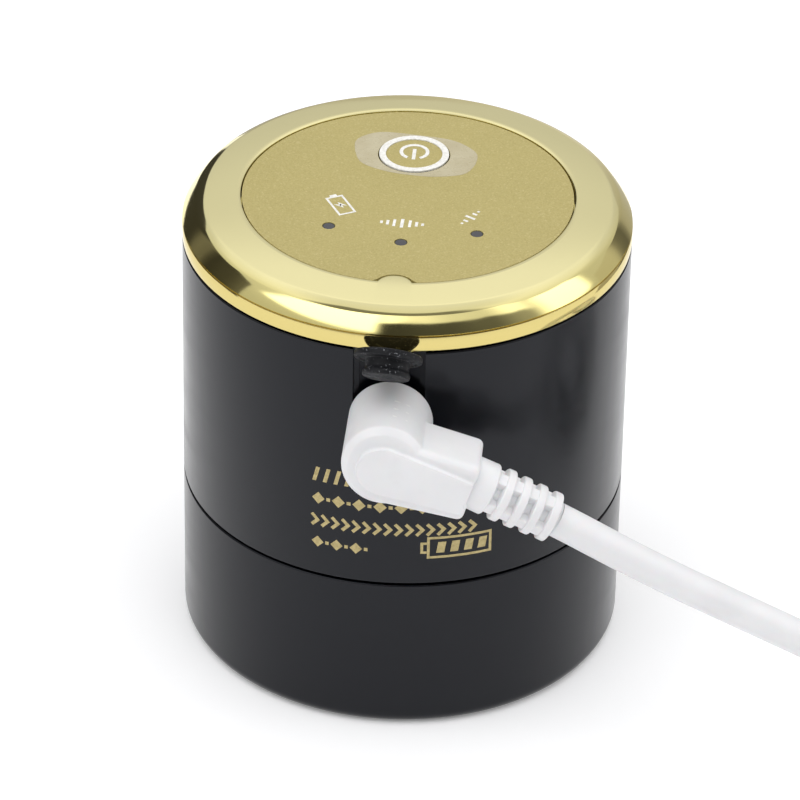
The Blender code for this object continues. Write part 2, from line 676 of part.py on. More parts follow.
def make_cord(mat):
    lead = cable("cord_lead", [relief_end(GAP), *CORD_ROUTE], CORD_D, mat["white_pvc"], 4.0, 3)
    inner = COIL_RINGS[0] - CORD_D / 2
    outer = COIL_RINGS[-1] + CORD_D / 2
    top = COIL_Z0 + COIL_LAYERS * CORD_D
    edge = 1.3
    coil = turned(
        "cord_coil",
        [(outer, top - edge), (outer, COIL_Z0 + edge), (outer - edge, COIL_Z0), (inner + edge, COIL_Z0),
         (inner, COIL_Z0 + edge), (inner, top - edge), (inner + edge, top), (outer - edge, top)],
        mat["white_pvc"], 36, (*COIL_CENTRE, 0.0),
    )
    return [lead, coil]


def make_coil_tie(mat):
    """Strap closed round the coil's bundle."""
    inner = COIL_RINGS[0] - CORD_D / 2 - 0.4
    outer = COIL_RINGS[-1] + CORD_D / 2 + 0.4
    top = COIL_Z0 + COIL_LAYERS * CORD_D + 0.4
    spin = Matrix.Rotation(math.radians(TIE_ANGLE), 3, "Z")
    at = (*COIL_CENTRE, 0.0)
    half = TIE_W / 2
    band = block("coil_tie", (inner - TIE_T, -half, 0.0), (outer + TIE_T, half, top + TIE_T), mat["white_plastic"],
                 at=at, turn=spin)
    inside = block("tie_cutter", (inner, -half - 1, TIE_T), (outer, half + 1, top), None, at=at, turn=spin)
    return cut(band, inside)


USB_HEADING = 220.0            # degrees, the way the USB plug points
USB_BACK = (-4.3, 17.5)        # its back end, from the coil's centre
TAIL_BEND = (8.8, 5.1)         # centre of the cord's last turn, from the coil's centre
TAIL_R = 18.0
USB_Z = COIL_Z0 + COIL_LAYERS * CORD_D + 1.4 + 3.9


def make_usb_plug(mat):
    """USB plug lying on the coil: moulded grip, metal shell and contact tongue, drawn along +X."""
    spin = Matrix.Rotation(math.radians(USB_HEADING), 3, "Z")
    at = (COIL_CENTRE[0] + USB_BACK[0], COIL_CENTRE[1] + USB_BACK[1], USB_Z)
    grip = block("usb_overmold", (0, -7.8, -3.9), (21, 7.8, 3.9), mat["white_pvc"], 1.4, at, spin)
    shell = block("usb_shell", (21.3, -6.0, -2.25), (39.6, 6.0, 2.25), mat["steel"], 0.0, at, spin)
    hollow = block("shell_cutter", (22.0, -5.65, -1.9), (41.0, 5.65, 1.9), None, 0.0, at, spin)
    cut(shell, hollow)
    tongue = block("usb_tongue", (22.3, -5.3, -0.1), (38.2, 5.3, 1.6), mat["white_plastic"], 0.0, at, spin)
    toward = spin @ Vector((1, 0, 0))
    back = Vector(at) - toward * GAP
    turn = [
        (COIL_CENTRE[0] + TAIL_BEND[0] + TAIL_R * math.cos(math.radians(a)),
         COIL_CENTRE[1] + TAIL_BEND[1] + TAIL_R * math.sin(math.radians(a)), z)
        for a, z in ((68, 11.75), (84, 12.2), (100, 13.3), (116, 14.3), (129, USB_Z))
    ]
    tail = cable("cord_tail", [*turn, back], CORD_D, mat["white_pvc"], 4.0, 2)
    return [grip, shell, tongue, tail]


# ---------------------------------------------------------------- assembly
def main():
    for item in list(bpy.data.objects):
        bpy.data.objects.remove(item, do_unlink=True)
    mat = palette()
    make_travel_cap(mat)
    housing = [
        make_housing_sleeve(mat), make_gold_trim_ring(mat), make_control_panel(mat), *make_led_windows(mat),
        make_base_plate(mat), *make_seals(mat), *make_base_screws(mat), make_inner_chassis(mat),
        *make_battery(mat), *make_wires(mat), *make_circuit(mat), *make_dc_jack(mat), make_drive_hub(mat),
        make_stopper_anchor(mat),
    ]
    can, bracket, screw_1, screw_2, shaft, weight = make_motor(mat)
    carry(pivot("housing_lift", (0, 0, HOUSING_Z0)), *housing, can, bracket, screw_1, screw_2)
    carry(pivot("motor_spin", (0, 0, MOTOR_Z0)), shaft, weight)
    carry(pivot("button_press", (0, BUTTON_Y, PANEL_Z1)), *make_button(mat))
    carry(pivot("brush_twist", (0, 0, DISC_Z0)), *make_brush_head(mat))
    make_stopper(mat)
    plug = [*make_plug(mat), make_strain_relief(mat), *make_cord(mat), make_coil_tie(mat), *make_usb_plug(mat)]
    carry(pivot("plug_pull", (0, PLUG_BACK_Y, JACK_Z)), *plug)


main()
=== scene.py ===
import json
import math
from random import Random

import bmesh
import bpy
from mathutils import Matrix, Vector


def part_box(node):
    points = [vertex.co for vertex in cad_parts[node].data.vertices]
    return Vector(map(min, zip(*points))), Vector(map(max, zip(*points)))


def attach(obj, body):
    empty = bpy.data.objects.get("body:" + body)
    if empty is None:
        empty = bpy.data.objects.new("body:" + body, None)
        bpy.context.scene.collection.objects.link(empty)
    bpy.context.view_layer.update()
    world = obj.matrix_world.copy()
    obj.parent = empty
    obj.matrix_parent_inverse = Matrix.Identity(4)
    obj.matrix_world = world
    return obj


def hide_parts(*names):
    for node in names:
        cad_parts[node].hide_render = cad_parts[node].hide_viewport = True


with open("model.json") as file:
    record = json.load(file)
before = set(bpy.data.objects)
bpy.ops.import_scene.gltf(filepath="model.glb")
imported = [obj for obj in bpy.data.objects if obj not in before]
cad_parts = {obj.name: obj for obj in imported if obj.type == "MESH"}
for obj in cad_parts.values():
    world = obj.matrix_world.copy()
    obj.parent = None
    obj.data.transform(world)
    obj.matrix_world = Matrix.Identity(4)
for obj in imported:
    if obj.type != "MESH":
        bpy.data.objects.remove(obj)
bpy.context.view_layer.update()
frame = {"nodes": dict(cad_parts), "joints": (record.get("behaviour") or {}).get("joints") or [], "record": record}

MM = 0.001
SCENE = bpy.context.scene


def node_box(node):
    """A CAD node's lowest and highest corners, in millimetres."""
    return [tuple(round(c / MM, 3) for c in corner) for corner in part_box(node)]


def middle(node):
    """The middle of a CAD node's box, in millimetres."""
    low, high = node_box(node)
    return tuple(round((a + b) / 2, 3) for a, b in zip(low, high))


# Sizes and places in millimetres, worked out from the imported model. PANEL_R, PANEL_TOP and the numbers
# typed in the making functions are where a shown piece was fitted to the photograph more closely than
# its CAD solid.
R = node_box("travel_cap")[1][0]
CAP_TOP = node_box("travel_cap")[1][2]
WALL_R = R - 2.2
SLEEVE_Z = tuple(corner[2] for corner in node_box("housing_sleeve"))
CAD_PANEL_R, _, CAD_PANEL_TOP = node_box("control_panel")[1]
RING_LIP = CAD_PANEL_R + 0.4
PANEL_R = CAD_PANEL_R + 0.25
PANEL_TOP = CAD_PANEL_TOP + 0.13
KEY_Y = -RING_LIP - 0.57                 # centre of the round key at the front of the ring
KEY_R = 2.1
NOTCH_R = 2.45                           # the panel's notch round that key
BUTTON_Y = middle("button_cap")[1]
BUTTON_HOLE_R = 4.45
JACK_Z = middle("plug_barrel")[2]
ARM_Y = middle("strain_relief")[1]
LED_SPOTS = {name: middle("led_window_" + name)[:2] for name in ("charge", "high", "low")}
COIL = middle("cord_coil")[:2]
CORD_D = 4.2
PORT_TURN = 3.9                          # degrees that the camera stands to the right of the port


# ---------------------------------------------------------------- camera
def make_camera():
    """Looks down at 33 degrees from just right of the charging port."""
    turn = Matrix.Rotation(math.radians(PORT_TURN), 3, "Z")
    tilt = math.radians(33.098)
    roll = math.radians(1.0966)
    distance = 0.6436
    target = Vector((-0.0004994, 0, 0.029997))
    back = Vector((0, -math.cos(tilt), math.sin(tilt)))
    place = target + back * distance
    side = Vector((1, 0, 0))
    up = back.cross(side)
    right = math.cos(roll) * side + math.sin(roll) * up
    above = -math.sin(roll) * side + math.cos(roll) * up
    lens = bpy.data.cameras.new("camera")
    lens.lens = 231.98
    lens.sensor_width = 36
    lens.clip_start = 0.01
    made = bpy.data.objects.new("camera", lens)
    SCENE.collection.objects.link(made)
    made.matrix_world = Matrix.Translation(turn @ place) @ Matrix(
        (turn @ right, turn @ above, turn @ back)
    ).transposed().to_4x4()
    SCENE.camera = made


make_camera()


# ---------------------------------------------------------------- material nodes
def rgba(colour):
    return (*colour, 1.0)


class Nodes:
    """A material's node tree, with short calls for the nodes that it uses."""

    def __init__(self, name):
        self.material = bpy.data.materials.new(name)
        self.material.use_nodes = True
        self.tree = self.material.node_tree
        self.shader = self.tree.nodes["Principled BSDF"]
        self.place = self.add("ShaderNodeTexCoord").outputs["Object"]

    def add(self, kind, inputs=None, **settings):
        node = self.tree.nodes.new(kind)
        for key, value in settings.items():
            setattr(node, key, value)
        for key, value in (inputs or {}).items():
            self.feed(node.inputs[key], value)
        return node

    def feed(self, socket, value):
        if isinstance(value, bpy.types.NodeSocket):
            self.tree.links.new(value, socket)
        else:
            socket.default_value = value

    def set(self, **values):
        for key, value in values.items():
            self.feed(self.shader.inputs[key.replace("_", " ")], value)

    def noise(self, size_mm, detail=3.0, rough=0.55, stretch=None):
        """Noise whose features are about size_mm across, from 0 to 1."""
        where = self.place
        if stretch:
            where = self.add("ShaderNodeMapping", {"Vector": where, "Scale": stretch}).outputs[0]
        inputs = {"Vector": where, "Scale": 1 / (size_mm * MM), "Detail": detail, "Roughness": rough}
        return self.add("ShaderNodeTexNoise", inputs).outputs["Fac"]

    def cells(self, size_mm, output):
        inputs = {"Vector": self.place, "Scale": 1 / (size_mm * MM)}
        return self.add("ShaderNodeTexVoronoi", inputs).outputs[output]

    def ramp(self, value, *stops):
        """Colours along a value: each stop is (position, colour or grey)."""
        made = self.add("ShaderNodeValToRGB", {"Fac": value})
        ends = made.color_ramp.elements
        while len(ends) < len(stops):
            ends.new(0.5)
        for end, (position, colour) in zip(ends, stops):
            end.position = position
            end.color = rgba(colour if isinstance(colour, tuple) else (colour,) * 3)
        return made.outputs["Color"]

    def span(self, value, low, high, new_low, new_high):
        inputs = {"Value": value, "From Min": low, "From Max": high, "To Min": new_low, "To Max": new_high}
        return self.add("ShaderNodeMapRange", inputs).outputs["Result"]

    def spread(self, value, low, high):
        """The usual range of a noise, 0.3 to 0.7, stretched from low to high."""
        return self.span(value, 0.3, 0.7, low, high)

    def times(self, value, factor):
        return self.add("ShaderNodeMath", {0: value, 1: factor}, operation="MULTIPLY").outputs[0]

    def mix(self, share, a, b):
        made = self.add("ShaderNodeMix", data_type="RGBA")
        self.feed(made.inputs[0], share)
        for number, value in ((6, a), (7, b)):
            self.feed(made.inputs[number], value)
        return made.outputs[2]

    def bump(self, height, strength, depth_mm, on=None):
        inputs = {"Height": height, "Strength": strength, "Distance": depth_mm * MM}
        if on:
            inputs["Normal"] = on
        return self.add("ShaderNodeBump", inputs).outputs[0]


def moulded(name, colour, rough, vary=0.12, grain_mm=0.5, bump=0.15, depth_mm=0.02, **more):
    """Moulded plastic: colour drifts slowly, roughness drifts, and the skin has a fine texture."""
    rough_vary = 0.08
    n = Nodes(name)
    dark = tuple(c * (1 - vary) for c in colour)
    light = tuple(min(1.0, c * (1 + vary)) for c in colour)
    n.set(
        Base_Color=n.ramp(n.noise(9.0, 4.0), (0.3, dark), (0.7, light)),
        Roughness=n.spread(n.noise(2.2, 5.0), rough - rough_vary, rough + rough_vary),
        Normal=n.bump(n.noise(grain_mm, 2.0), bump, depth_mm),
        **more,
    )
    return n.material


def make_black_gloss():
    """Polished black ABS with faint long scuffs and a little dust."""
    n = Nodes("black_gloss_finish")
    dust = n.ramp(n.noise(0.35, 2.0, 0.7), (0.70, 0.0), (0.80, 1.0))
    colour = n.mix(n.times(dust, 0.05), rgba((0.0010, 0.0013, 0.0024)), rgba((0.08, 0.085, 0.09)))
    scuffs = n.noise(6.0, 6.0, 0.7, (0.25, 0.25, 1.6))
    n.set(
        Base_Color=colour,
        Roughness=n.span(scuffs, 0.35, 0.7, 0.17, 0.25),
        Normal=n.bump(n.noise(14.0, 2.0), 0.06, 0.05, n.bump(n.noise(0.25, 2.0), 0.04, 0.006)),
        IOR=1.38,
        Specular_Tint=rgba((0.86, 0.88, 0.95)),
    )
    return n.material


def make_gold_plate():
    """Mirror plating with painted shade and light by height: a deeper, darker yellow on the upright band (painted
    shade) and paler on the top (painted light), with haze and wipe marks.
    """
    n = Nodes("gold_plate_painted_shade_finish")
    height = n.add("ShaderNodeSeparateXYZ", {"Vector": n.place}).outputs["Z"]
    level = n.span(height, 0.0545, 0.0600, 0.0, 1.0)
    # Painted shade and light: base colour by height, darker deep yellow on the band below the groove, paler up to
    # the top lip.
    colour = n.ramp(
        level,
        (0.0, (0.62, 0.515, 0.19)), (0.41, (0.62, 0.515, 0.195)), (0.45, (0.85, 0.745, 0.30)),
        (0.80, (0.88, 0.78, 0.34)), (0.90, (0.94, 0.86, 0.46)), (1.0, (0.95, 0.87, 0.47)),
    )
    wipe = n.noise(7.0, 5.0, 0.6, (1.0, 0.3, 1.0))
    n.set(
        Base_Color=n.mix(n.spread(wipe, 0.0, 0.06), colour, rgba((0.70, 0.60, 0.33))),
        Roughness=n.spread(wipe, 0.05, 0.11),
        Metallic=1.0,
        Normal=n.bump(n.noise(5.0, 3.0), 0.10, 0.06, n.bump(n.noise(0.2, 2.0), 0.03, 0.004)),
    )
    return n.material


def make_gold_paint():
    """Matte khaki-gold paint full of fine metal flakes."""
    n = Nodes("gold_paint_finish")
    flakes = n.cells(0.17, "Color")
    flake = n.add("ShaderNodeSeparateColor", {"Color": flakes}).outputs[0]
    grain = n.noise(0.22, 3.0, 0.7)
    tone = n.ramp(
        grain, (0.30, (0.375, 0.312, 0.106)), (0.52, (0.432, 0.365, 0.135)), (0.74, (0.49, 0.42, 0.172)),
    )
    drift = n.spread(n.noise(12.0, 3.0), 0.0, 0.18)
    tone = n.mix(drift, tone, rgba((0.50, 0.42, 0.16)))
    tone = n.mix(n.span(flake, 0.88, 1.0, 0.0, 0.3), tone, rgba((0.72, 0.64, 0.36)))
    n.set(
        Base_Color=tone,
        Metallic=0.25,
        Roughness=n.span(flake, 0.0, 1.0, 0.38, 0.62),
        Normal=n.bump(grain, 0.35, 0.02, n.bump(flake, 0.12, 0.012)),
    )
    return n.material


def make_rubber():
    """Soft black rubber with a painted highlight on its edges, lighter grey where the surface is pointy, and
    speckled with lint.
    """
    n = Nodes("black_rubber_edge_highlight_finish")
    # Painted highlight: convex edges, found by pointiness, are coloured lighter grey.
    pointy_edge_highlight = n.add("ShaderNodeNewGeometry").outputs["Pointiness"]
    edge = n.span(pointy_edge_highlight, 0.54, 0.66, 0.0, 0.7)
    specks = n.ramp(n.noise(0.34, 2.0, 0.8), (0.63, 0.0), (0.68, 1.0))
    base = n.mix(edge, rgba((0.0030, 0.0034, 0.0048)), rgba((0.045, 0.048, 0.055)))
    smear = n.span(n.noise(1.6, 4.0), 0.45, 0.75, 0.0, 0.35)
    base = n.mix(smear, base, rgba((0.012, 0.0125, 0.015)))
    n.set(
        Base_Color=n.mix(n.times(specks, 0.55), base, rgba((0.30, 0.31, 0.33))),
        Roughness=n.spread(n.noise(0.9, 4.0), 0.42, 0.62),
        IOR=1.40,
        Specular_IOR_Level=0.35,
        Normal=n.bump(n.noise(0.35, 4.0), 0.35, 0.05),
    )
    return n.material


def make_white_pvc():
    """White flexible PVC: milky, slightly waxy, with a fine moulded skin and faint handling marks."""
    n = Nodes("white_pvc_finish")
    marks = n.span(n.noise(3.5, 5.0, 0.65), 0.55, 0.8, 0.0, 0.35)
    tone = n.ramp(n.noise(8.0, 3.0), (0.3, (0.70, 0.70, 0.712)), (0.7, (0.75, 0.75, 0.76)))
    n.set(
        Base_Color=n.mix(marks, tone, rgba((0.66, 0.66, 0.665))),
        Roughness=n.spread(n.noise(1.2, 4.0), 0.36, 0.50),
        Subsurface_Weight=0.12,
        Subsurface_Scale=0.0012,
        Normal=n.bump(n.noise(0.4, 3.0), 0.10, 0.02),
        IOR=1.48,
    )
    return n.material


def make_print_gold():
    n = Nodes("print_gold_finish")
    wear = n.noise(0.5, 4.0, 0.7)
    n.set(
        Base_Color=n.ramp(wear, (0.3, (0.33, 0.26, 0.105)), (0.6, (0.50, 0.41, 0.19))),
        Metallic=0.3,
        Roughness=n.spread(wear, 0.38, 0.55),
    )
    return n.material


def make_print_white():
    n = Nodes("print_white_finish")
    wear = n.noise(0.4, 3.0)
    n.set(
        Base_Color=n.ramp(wear, (0.3, (0.66, 0.65, 0.60)), (0.6, (0.82, 0.81, 0.77))),
        Roughness=n.spread(wear, 0.35, 0.5),
    )
    return n.material


def make_film():
    """Touch patch printed round the button: a paler, glossier varnish with soft blotches."""
    n = Nodes("varnish_finish")
    blot = n.noise(3.0, 4.0, 0.6)
    n.set(
        Base_Color=n.ramp(blot, (0.3, (0.415, 0.36, 0.215)), (0.7, (0.475, 0.425, 0.275))),
        Roughness=n.spread(n.noise(1.0, 3.0), 0.22, 0.36),
        Normal=n.bump(n.noise(0.25, 2.0), 0.12, 0.01),
        Coat_Weight=0.4,
        Coat_Roughness=0.15,
    )
    return n.material


def make_steel():
    n = Nodes("steel_finish")
    brushed = n.noise(0.25, 3.0, 0.5, (0.35, 0.35, 1.0))
    n.set(
        Base_Color=n.ramp(brushed, (0.3, (0.60, 0.61, 0.63)), (0.7, (0.68, 0.68, 0.70))),
        Metallic=1.0,
        Roughness=n.spread(brushed, 0.24, 0.32),
        Normal=n.bump(brushed, 0.04, 0.006),
    )
    return n.material


def make_board():
    """Circuit board: green mask over darker tracks."""
    n = Nodes("circuit_green_finish")
    tracks = n.add("ShaderNodeTexBrick", {"Vector": n.place, "Scale": 420.0, "Mortar Size": 0.012})
    lane = tracks.outputs["Fac"]
    n.set(
        Base_Color=n.mix(lane, rgba((0.012, 0.13, 0.05)), rgba((0.03, 0.24, 0.09))),
        Roughness=n.spread(n.noise(1.5), 0.28, 0.42),
        Normal=n.bump(lane, 0.3, 0.03),
    )
    return n.material


def make_bristle():
    """Nylon filament: pale, a little clear at the tips, with a soft sheen."""
    n = Nodes("bristle_finish")
    height = n.add("ShaderNodeSeparateXYZ", {"Vector": n.place}).outputs["Z"]
    level = n.span(height, 0.007, 0.0136, 0.0, 1.0)
    tone = n.ramp(level, (0.0, (0.90, 0.91, 0.92)), (0.4, (0.84, 0.85, 0.86)), (1.0, (0.70, 0.71, 0.72)))
    n.set(
        Base_Color=n.mix(n.spread(n.noise(0.5), 0.0, 0.25), tone, rgba((0.72, 0.73, 0.75))),
        Roughness=n.spread(n.noise(0.8), 0.35, 0.5),
        Sheen_Weight=0.2,
    )
    return n.material


FINISH = {
    "black_gloss": make_black_gloss(),
    "gold_plate": make_gold_plate(),
    "gold_paint": make_gold_paint(),
    "window": moulded("window_finish", (0.055, 0.055, 0.062), 0.22, 0.2, 0.3),
    "black_rubber": make_rubber(),
    "white_pvc": make_white_pvc(),
    "white_plastic": moulded("white_plastic_finish", (0.80, 0.80, 0.785), 0.33, 0.04),
    "grey_plastic": moulded("grey_plastic_finish", (0.22, 0.22, 0.23), 0.5, 0.12, 0.3, 0.3),
    "steel": make_steel(),
    "brass": moulded("brass_finish", (0.72, 0.55, 0.25), 0.3, 0.1, 0.4, 0.1, Metallic=1.0),
    "circuit_green": make_board(),
    "chip_black": moulded("chip_black_finish", (0.02, 0.02, 0.021), 0.5, 0.3, 0.15, 0.4),
    "cell_wrap": moulded("cell_wrap_finish", (0.05, 0.20, 0.46), 0.34, 0.15, 3.0, 0.2, 0.08),
    "wire_red": moulded("wire_red_finish", (0.52, 0.03, 0.03), 0.42, 0.2),
    "wire_black": moulded("wire_black_finish", (0.02, 0.02, 0.02), 0.42, 0.3),
    "bristle": make_bristle(),
    "print_gold": make_print_gold(),
    "print_white": make_print_white(),
    "varnish": make_film(),
}
NODE_SLOT = {part["node"]: part["material_slot"] for part in frame["record"]["subparts"]}
NODE_BODY = {node: body for body, nodes in frame["record"]["behaviour"]["bodies"].items() for node in nodes}


# ---------------------------------------------------------------- mesh helpers
def to_metres(bm, turn, at):
    """Turns and moves a bmesh in millimetres, then scales it to metres."""
    if turn is not None:
        bm.transform(turn.to_4x4())
    bmesh.ops.translate(bm, verts=bm.verts, vec=at)
    bmesh.ops.scale(bm, verts=bm.verts, vec=(MM, MM, MM))


def into_scene(name, bm):
    mesh = bpy.data.meshes.new(name)
    bm.to_mesh(mesh)
    bm.free()
    made = bpy.data.objects.new(name, mesh)
    SCENE.collection.objects.link(made)
    return made


def shade(made, sharp):
    """Smooth shading, with a crease where faces meet at more than sharp degrees."""
    made.data.shade_smooth()
    made.data.set_sharp_from_angle(angle=math.radians(sharp))


def add(name, bm, finish, body, replaces=(), sharp=32.0, turn=None, at=(0, 0, 0)):
    """A piece from a bmesh in millimetres, which rides on a body and may replace CAD nodes."""
    bmesh.ops.remove_doubles(bm, verts=bm.verts, dist=0.0004)
    to_metres(bm, turn, at)
    made = into_scene(name, bm)
    shade(made, sharp)
    made.data.materials.append(FINISH[finish])
    if body:
        settle(made, body, replaces)
    return made


def settle(made, body, replaces=()):
    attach(made, body)
    if replaces:
        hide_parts(*replaces)


def rounded(points, fine=12.0):
    """Outline points, where a third number on a point is the radius of the arc that rounds it."""
    out = []
    count = len(points)
    for i, point in enumerate(points):
        here = Vector(point[:2])
        radius = point[2] if len(point) > 2 else 0.0
        if not radius:
            out.append(tuple(here))
            continue
        back = (Vector(points[i - 1][:2]) - here).normalized()
        on = (Vector(points[(i + 1) % count][:2]) - here).normalized()
        half = math.acos(max(-1.0, min(1.0, back.dot(on)))) / 2
        reach = radius / math.tan(half)
        centre = here + (back + on).normalized() * (radius / math.sin(half))
        start = here + back * reach - centre
        sweep = start.angle_signed(here + on * reach - centre)
        steps = max(2, round(abs(math.degrees(sweep)) / fine))
        for k in range(steps + 1):
            a = -sweep * k / steps
            out.append((centre.x + math.cos(a) * start.x - math.sin(a) * start.y,
                        centre.y + math.sin(a) * start.x + math.cos(a) * start.y))
    return out


def turned(profile, steps=96, closed=True, fine=12.0):
    """A bmesh turned about Z from an outline that runs counter-clockwise in the R-Z plane."""
    bm = bmesh.new()
    outline = rounded(profile, fine)
    angles = [math.tau * k / steps for k in range(steps)]
    rings = []
    for r, z in outline:
        if r < 1e-6:
            rings.append([bm.verts.new((0, 0, z))])
        else:
            rings.append([bm.verts.new((r * math.cos(a), r * math.sin(a), z)) for a in angles])
    pairs = list(zip(rings, rings[1:]))
    if closed:
        pairs.append((rings[-1], rings[0]))
    for low, high in pairs:
        for k in range(steps):
            j = (k + 1) % steps
            if len(low) == 1 and len(high) == 1:
                continue
            if len(low) == 1:
                bm.faces.new((low[0], high[j], high[k]))
            elif len(high) == 1:
                bm.faces.new((low[k], low[j], high[0]))
            else:
                bm.faces.new((low[k], low[j], high[j], high[k]))
    bmesh.ops.recalc_face_normals(bm, faces=bm.faces)
    return bm


def prism(outline, z0, z1, edge=0.0, segments=2):
    """An outline pulled from z0 to z1, with its top rim rounded by edge."""
    bm = bmesh.new()
    base = bm.faces.new([bm.verts.new((x, y, z0)) for x, y in outline])
    pulled = bmesh.ops.extrude_face_region(bm, geom=[base])["geom"]
    top = [item for item in pulled if isinstance(item, bmesh.types.BMVert)]
    bmesh.ops.translate(bm, verts=top, vec=(0, 0, z1 - z0))
    bmesh.ops.recalc_face_normals(bm, faces=bm.faces)
    if edge:
        rim = [e for e in bm.edges if all(abs(v.co.z - z1) < 1e-6 for v in e.verts)]
        bmesh.ops.bevel(bm, geom=rim, offset=edge, segments=segments, profile=0.5, affect="EDGES")
    return bm


def box(low, high, bevel=0.0, segments=3):
    bm = bmesh.new()
    bmesh.ops.create_cube(bm, size=1.0)
    bmesh.ops.scale(bm, verts=bm.verts, vec=[h - l for l, h in zip(low, high)])
    bmesh.ops.translate(bm, verts=bm.verts, vec=[(h + l) / 2 for l, h in zip(low, high)])
    if bevel:
        bmesh.ops.bevel(bm, geom=bm.edges, offset=bevel, segments=segments, profile=0.5, affect="EDGES")
    return bm


def arc(radius, start, end, steps, centre=(0.0, 0.0)):
    angles = [math.radians(start + (end - start) * k / steps) for k in range(steps + 1)]
    return [(centre[0] + radius * math.cos(a), centre[1] + radius * math.sin(a)) for a in angles]


def circle(radius, steps, centre):
    return arc(radius, 0, 360, steps, centre)[:-1]


def tool(bm, turn=None, at=(0, 0, 0)):
    """An object for a Boolean or a remesh, with no finish yet."""
    to_metres(bm, turn, at)
    bmesh.ops.recalc_face_normals(bm, faces=bm.faces)
    return into_scene("tool", bm)


def apply(target, *steps):
    """Apply modifiers: each step is (type, settings)."""
    for kind, settings in steps:
        step = target.modifiers.new(kind.lower(), kind)
        for key, value in settings.items():
            setattr(step, key, value)
    bpy.context.view_layer.update()
    graph = bpy.context.evaluated_depsgraph_get()
    made = bpy.data.meshes.new_from_object(target.evaluated_get(graph))
    target.modifiers.clear()
    target.data = made


def boolean(target, *others, how="DIFFERENCE", sharp=32.0):
    for other in others:
        apply(target, ("BOOLEAN", {"operation": how, "solver": "EXACT", "object": other}))
        bpy.data.objects.remove(other)
    shade(target, sharp)


def gather(target, *others):
    """Puts several closed shapes in one mesh, for a remesh that fuses them."""
    bm = bmesh.new()
    bm.from_mesh(target.data)
    for other in others:
        bm.from_mesh(other.data)
        bpy.data.objects.remove(other)
    bm.to_mesh(target.data)
    bm.free()


def dress(made, name, finish, node, place=None):
    """Names a shape made from tools, moves it into place, and stands it for a CAD node."""
    made.name = name
    made.data.name = name
    if place is not None:
        made.data.transform(place)
    made.data.materials.clear()
    made.data.materials.append(FINISH[finish])
    settle(made, NODE_BODY[node], (node,))


FRONT = Matrix.Rotation(math.radians(90), 3, "X")      # local +Z to world -Y


# ---------------------------------------------------------------- charging cord
def catmull(route, per=8):
    ends = [2 * route[0] - route[1], 2 * route[-1] - route[-2]]
    knots = [ends[0], *route, ends[1]]
    out = []
    for p0, p1, p2, p3 in zip(knots, knots[1:], knots[2:], knots[3:]):
        for k in range(per):
            t = k / per
            out.append(0.5 * (2 * p1 + (p2 - p0) * t + (2 * p0 - 5 * p1 + 4 * p2 - p3) * t**2
                              + (3 * p1 - p0 - 3 * p2 + p3) * t**3))
    out.append(route[-1])
    return out


def ease(t):
    t = max(0.0, min(1.0, t))
    return t * t * (3 - 2 * t)


LEAD = [
    (20.63, ARM_Y, 37.36), (23.6, -35.1, 35.75), (27.9, -35.1, 33.35), (36.0, -35.1, 29.1),
    (50.3, -35.2, 22.3), (62.0, -35.5, 16.6), (74.0, -36.0, 11.0), (80.0, -36.0, 8.2),
    (86.3, -36.0, 5.6), (92.0, -36.0, 3.9), (98.0, -36.0, 3.15),
]
SLOTS = [(28.2, 3.0), (24.0, 3.0), (19.8, 3.0), (19.8, 7.2), (24.0, 7.2), (28.2, 7.2)]
SLOT_SPAN = 320.0                        # degrees that the cord goes round in one slot of the coil
SLOT_SHIFT = 40.0                        # degrees over which it moves to the next slot
COIL_RISE = 75.0                         # degrees over which it climbs off the coil
USB_HEADING = math.radians(220)
USB_Z = middle("usb_overmold")[2]
USB_BACK = (COIL[0] - 4.3, COIL[1] + 17.5, USB_Z)
USB_TURN = Matrix.Rotation(USB_HEADING, 3, "Z")


def coil_point(swept):
    """The cord's place after it has gone round the coil by an angle in degrees."""
    last = len(SLOTS) - 1
    k = min(int(swept // SLOT_SPAN), last)
    share = 0.0
    if k < last:
        share = ease((swept - k * SLOT_SPAN - (SLOT_SPAN - SLOT_SHIFT)) / SLOT_SHIFT)
    r0, z0 = SLOTS[k]
    r1, z1 = SLOTS[min(k + 1, last)]
    radius = r0 + (r1 - r0) * share
    z = z0 + (z1 - z0) * share
    rise = ease((swept - (len(SLOTS) * SLOT_SPAN - COIL_RISE)) / COIL_RISE)
    angle = math.radians(-90 + swept)
    return Vector((COIL[0] + radius * math.cos(angle), COIL[1] + radius * math.sin(angle), z + 3.1 * rise))


def make_cord():
    """The lead, the coil and the tail up to the USB plug, as one curve. Gives the curve and its length."""
    lead = [Vector(p) for p in LEAD]
    total = len(SLOTS) * SLOT_SPAN
    coil = [coil_point(swept) for swept in range(0, int(total) + 1, 12)]
    end = coil[-1]
    centre = Vector((COIL[0] + 8.8, COIL[1] + 5.1, 0))
    bend = 18.0
    tail = []
    for k in range(1, 9):
        angle = math.radians(30 + 100 * k / 8)
        z = end.z + (USB_Z - end.z) * ease(k / 8)
        tail.append(Vector((centre.x + bend * math.cos(angle), centre.y + bend * math.sin(angle), z)))
    back = Vector(USB_BACK) - Vector((math.cos(USB_HEADING), math.sin(USB_HEADING), 0)) * 0.3
    route = catmull(lead + coil + tail + [back], 2)
    data = bpy.data.curves.new("charging_cord", "CURVE")
    data.dimensions = "3D"
    data.bevel_depth = CORD_D / 2 * MM
    data.bevel_resolution = 8
    data.use_fill_caps = True
    line = data.splines.new("POLY")
    line.points.add(len(route) - 1)
    for spot, point in zip(line.points, route):
        spot.co = (*(point * MM), 1.0)
    line.use_smooth = True
    data.materials.append(FINISH["white_pvc"])
    made = bpy.data.objects.new("charging_cord", data)
    SCENE.collection.objects.link(made)
    length = sum((b - a).length for a, b in zip(route, route[1:])) * MM
    settle(made, "charging_lead", ("cord_lead", "cord_coil", "cord_tail"))
    return made, length


CORD, CORD_LENGTH = make_cord()


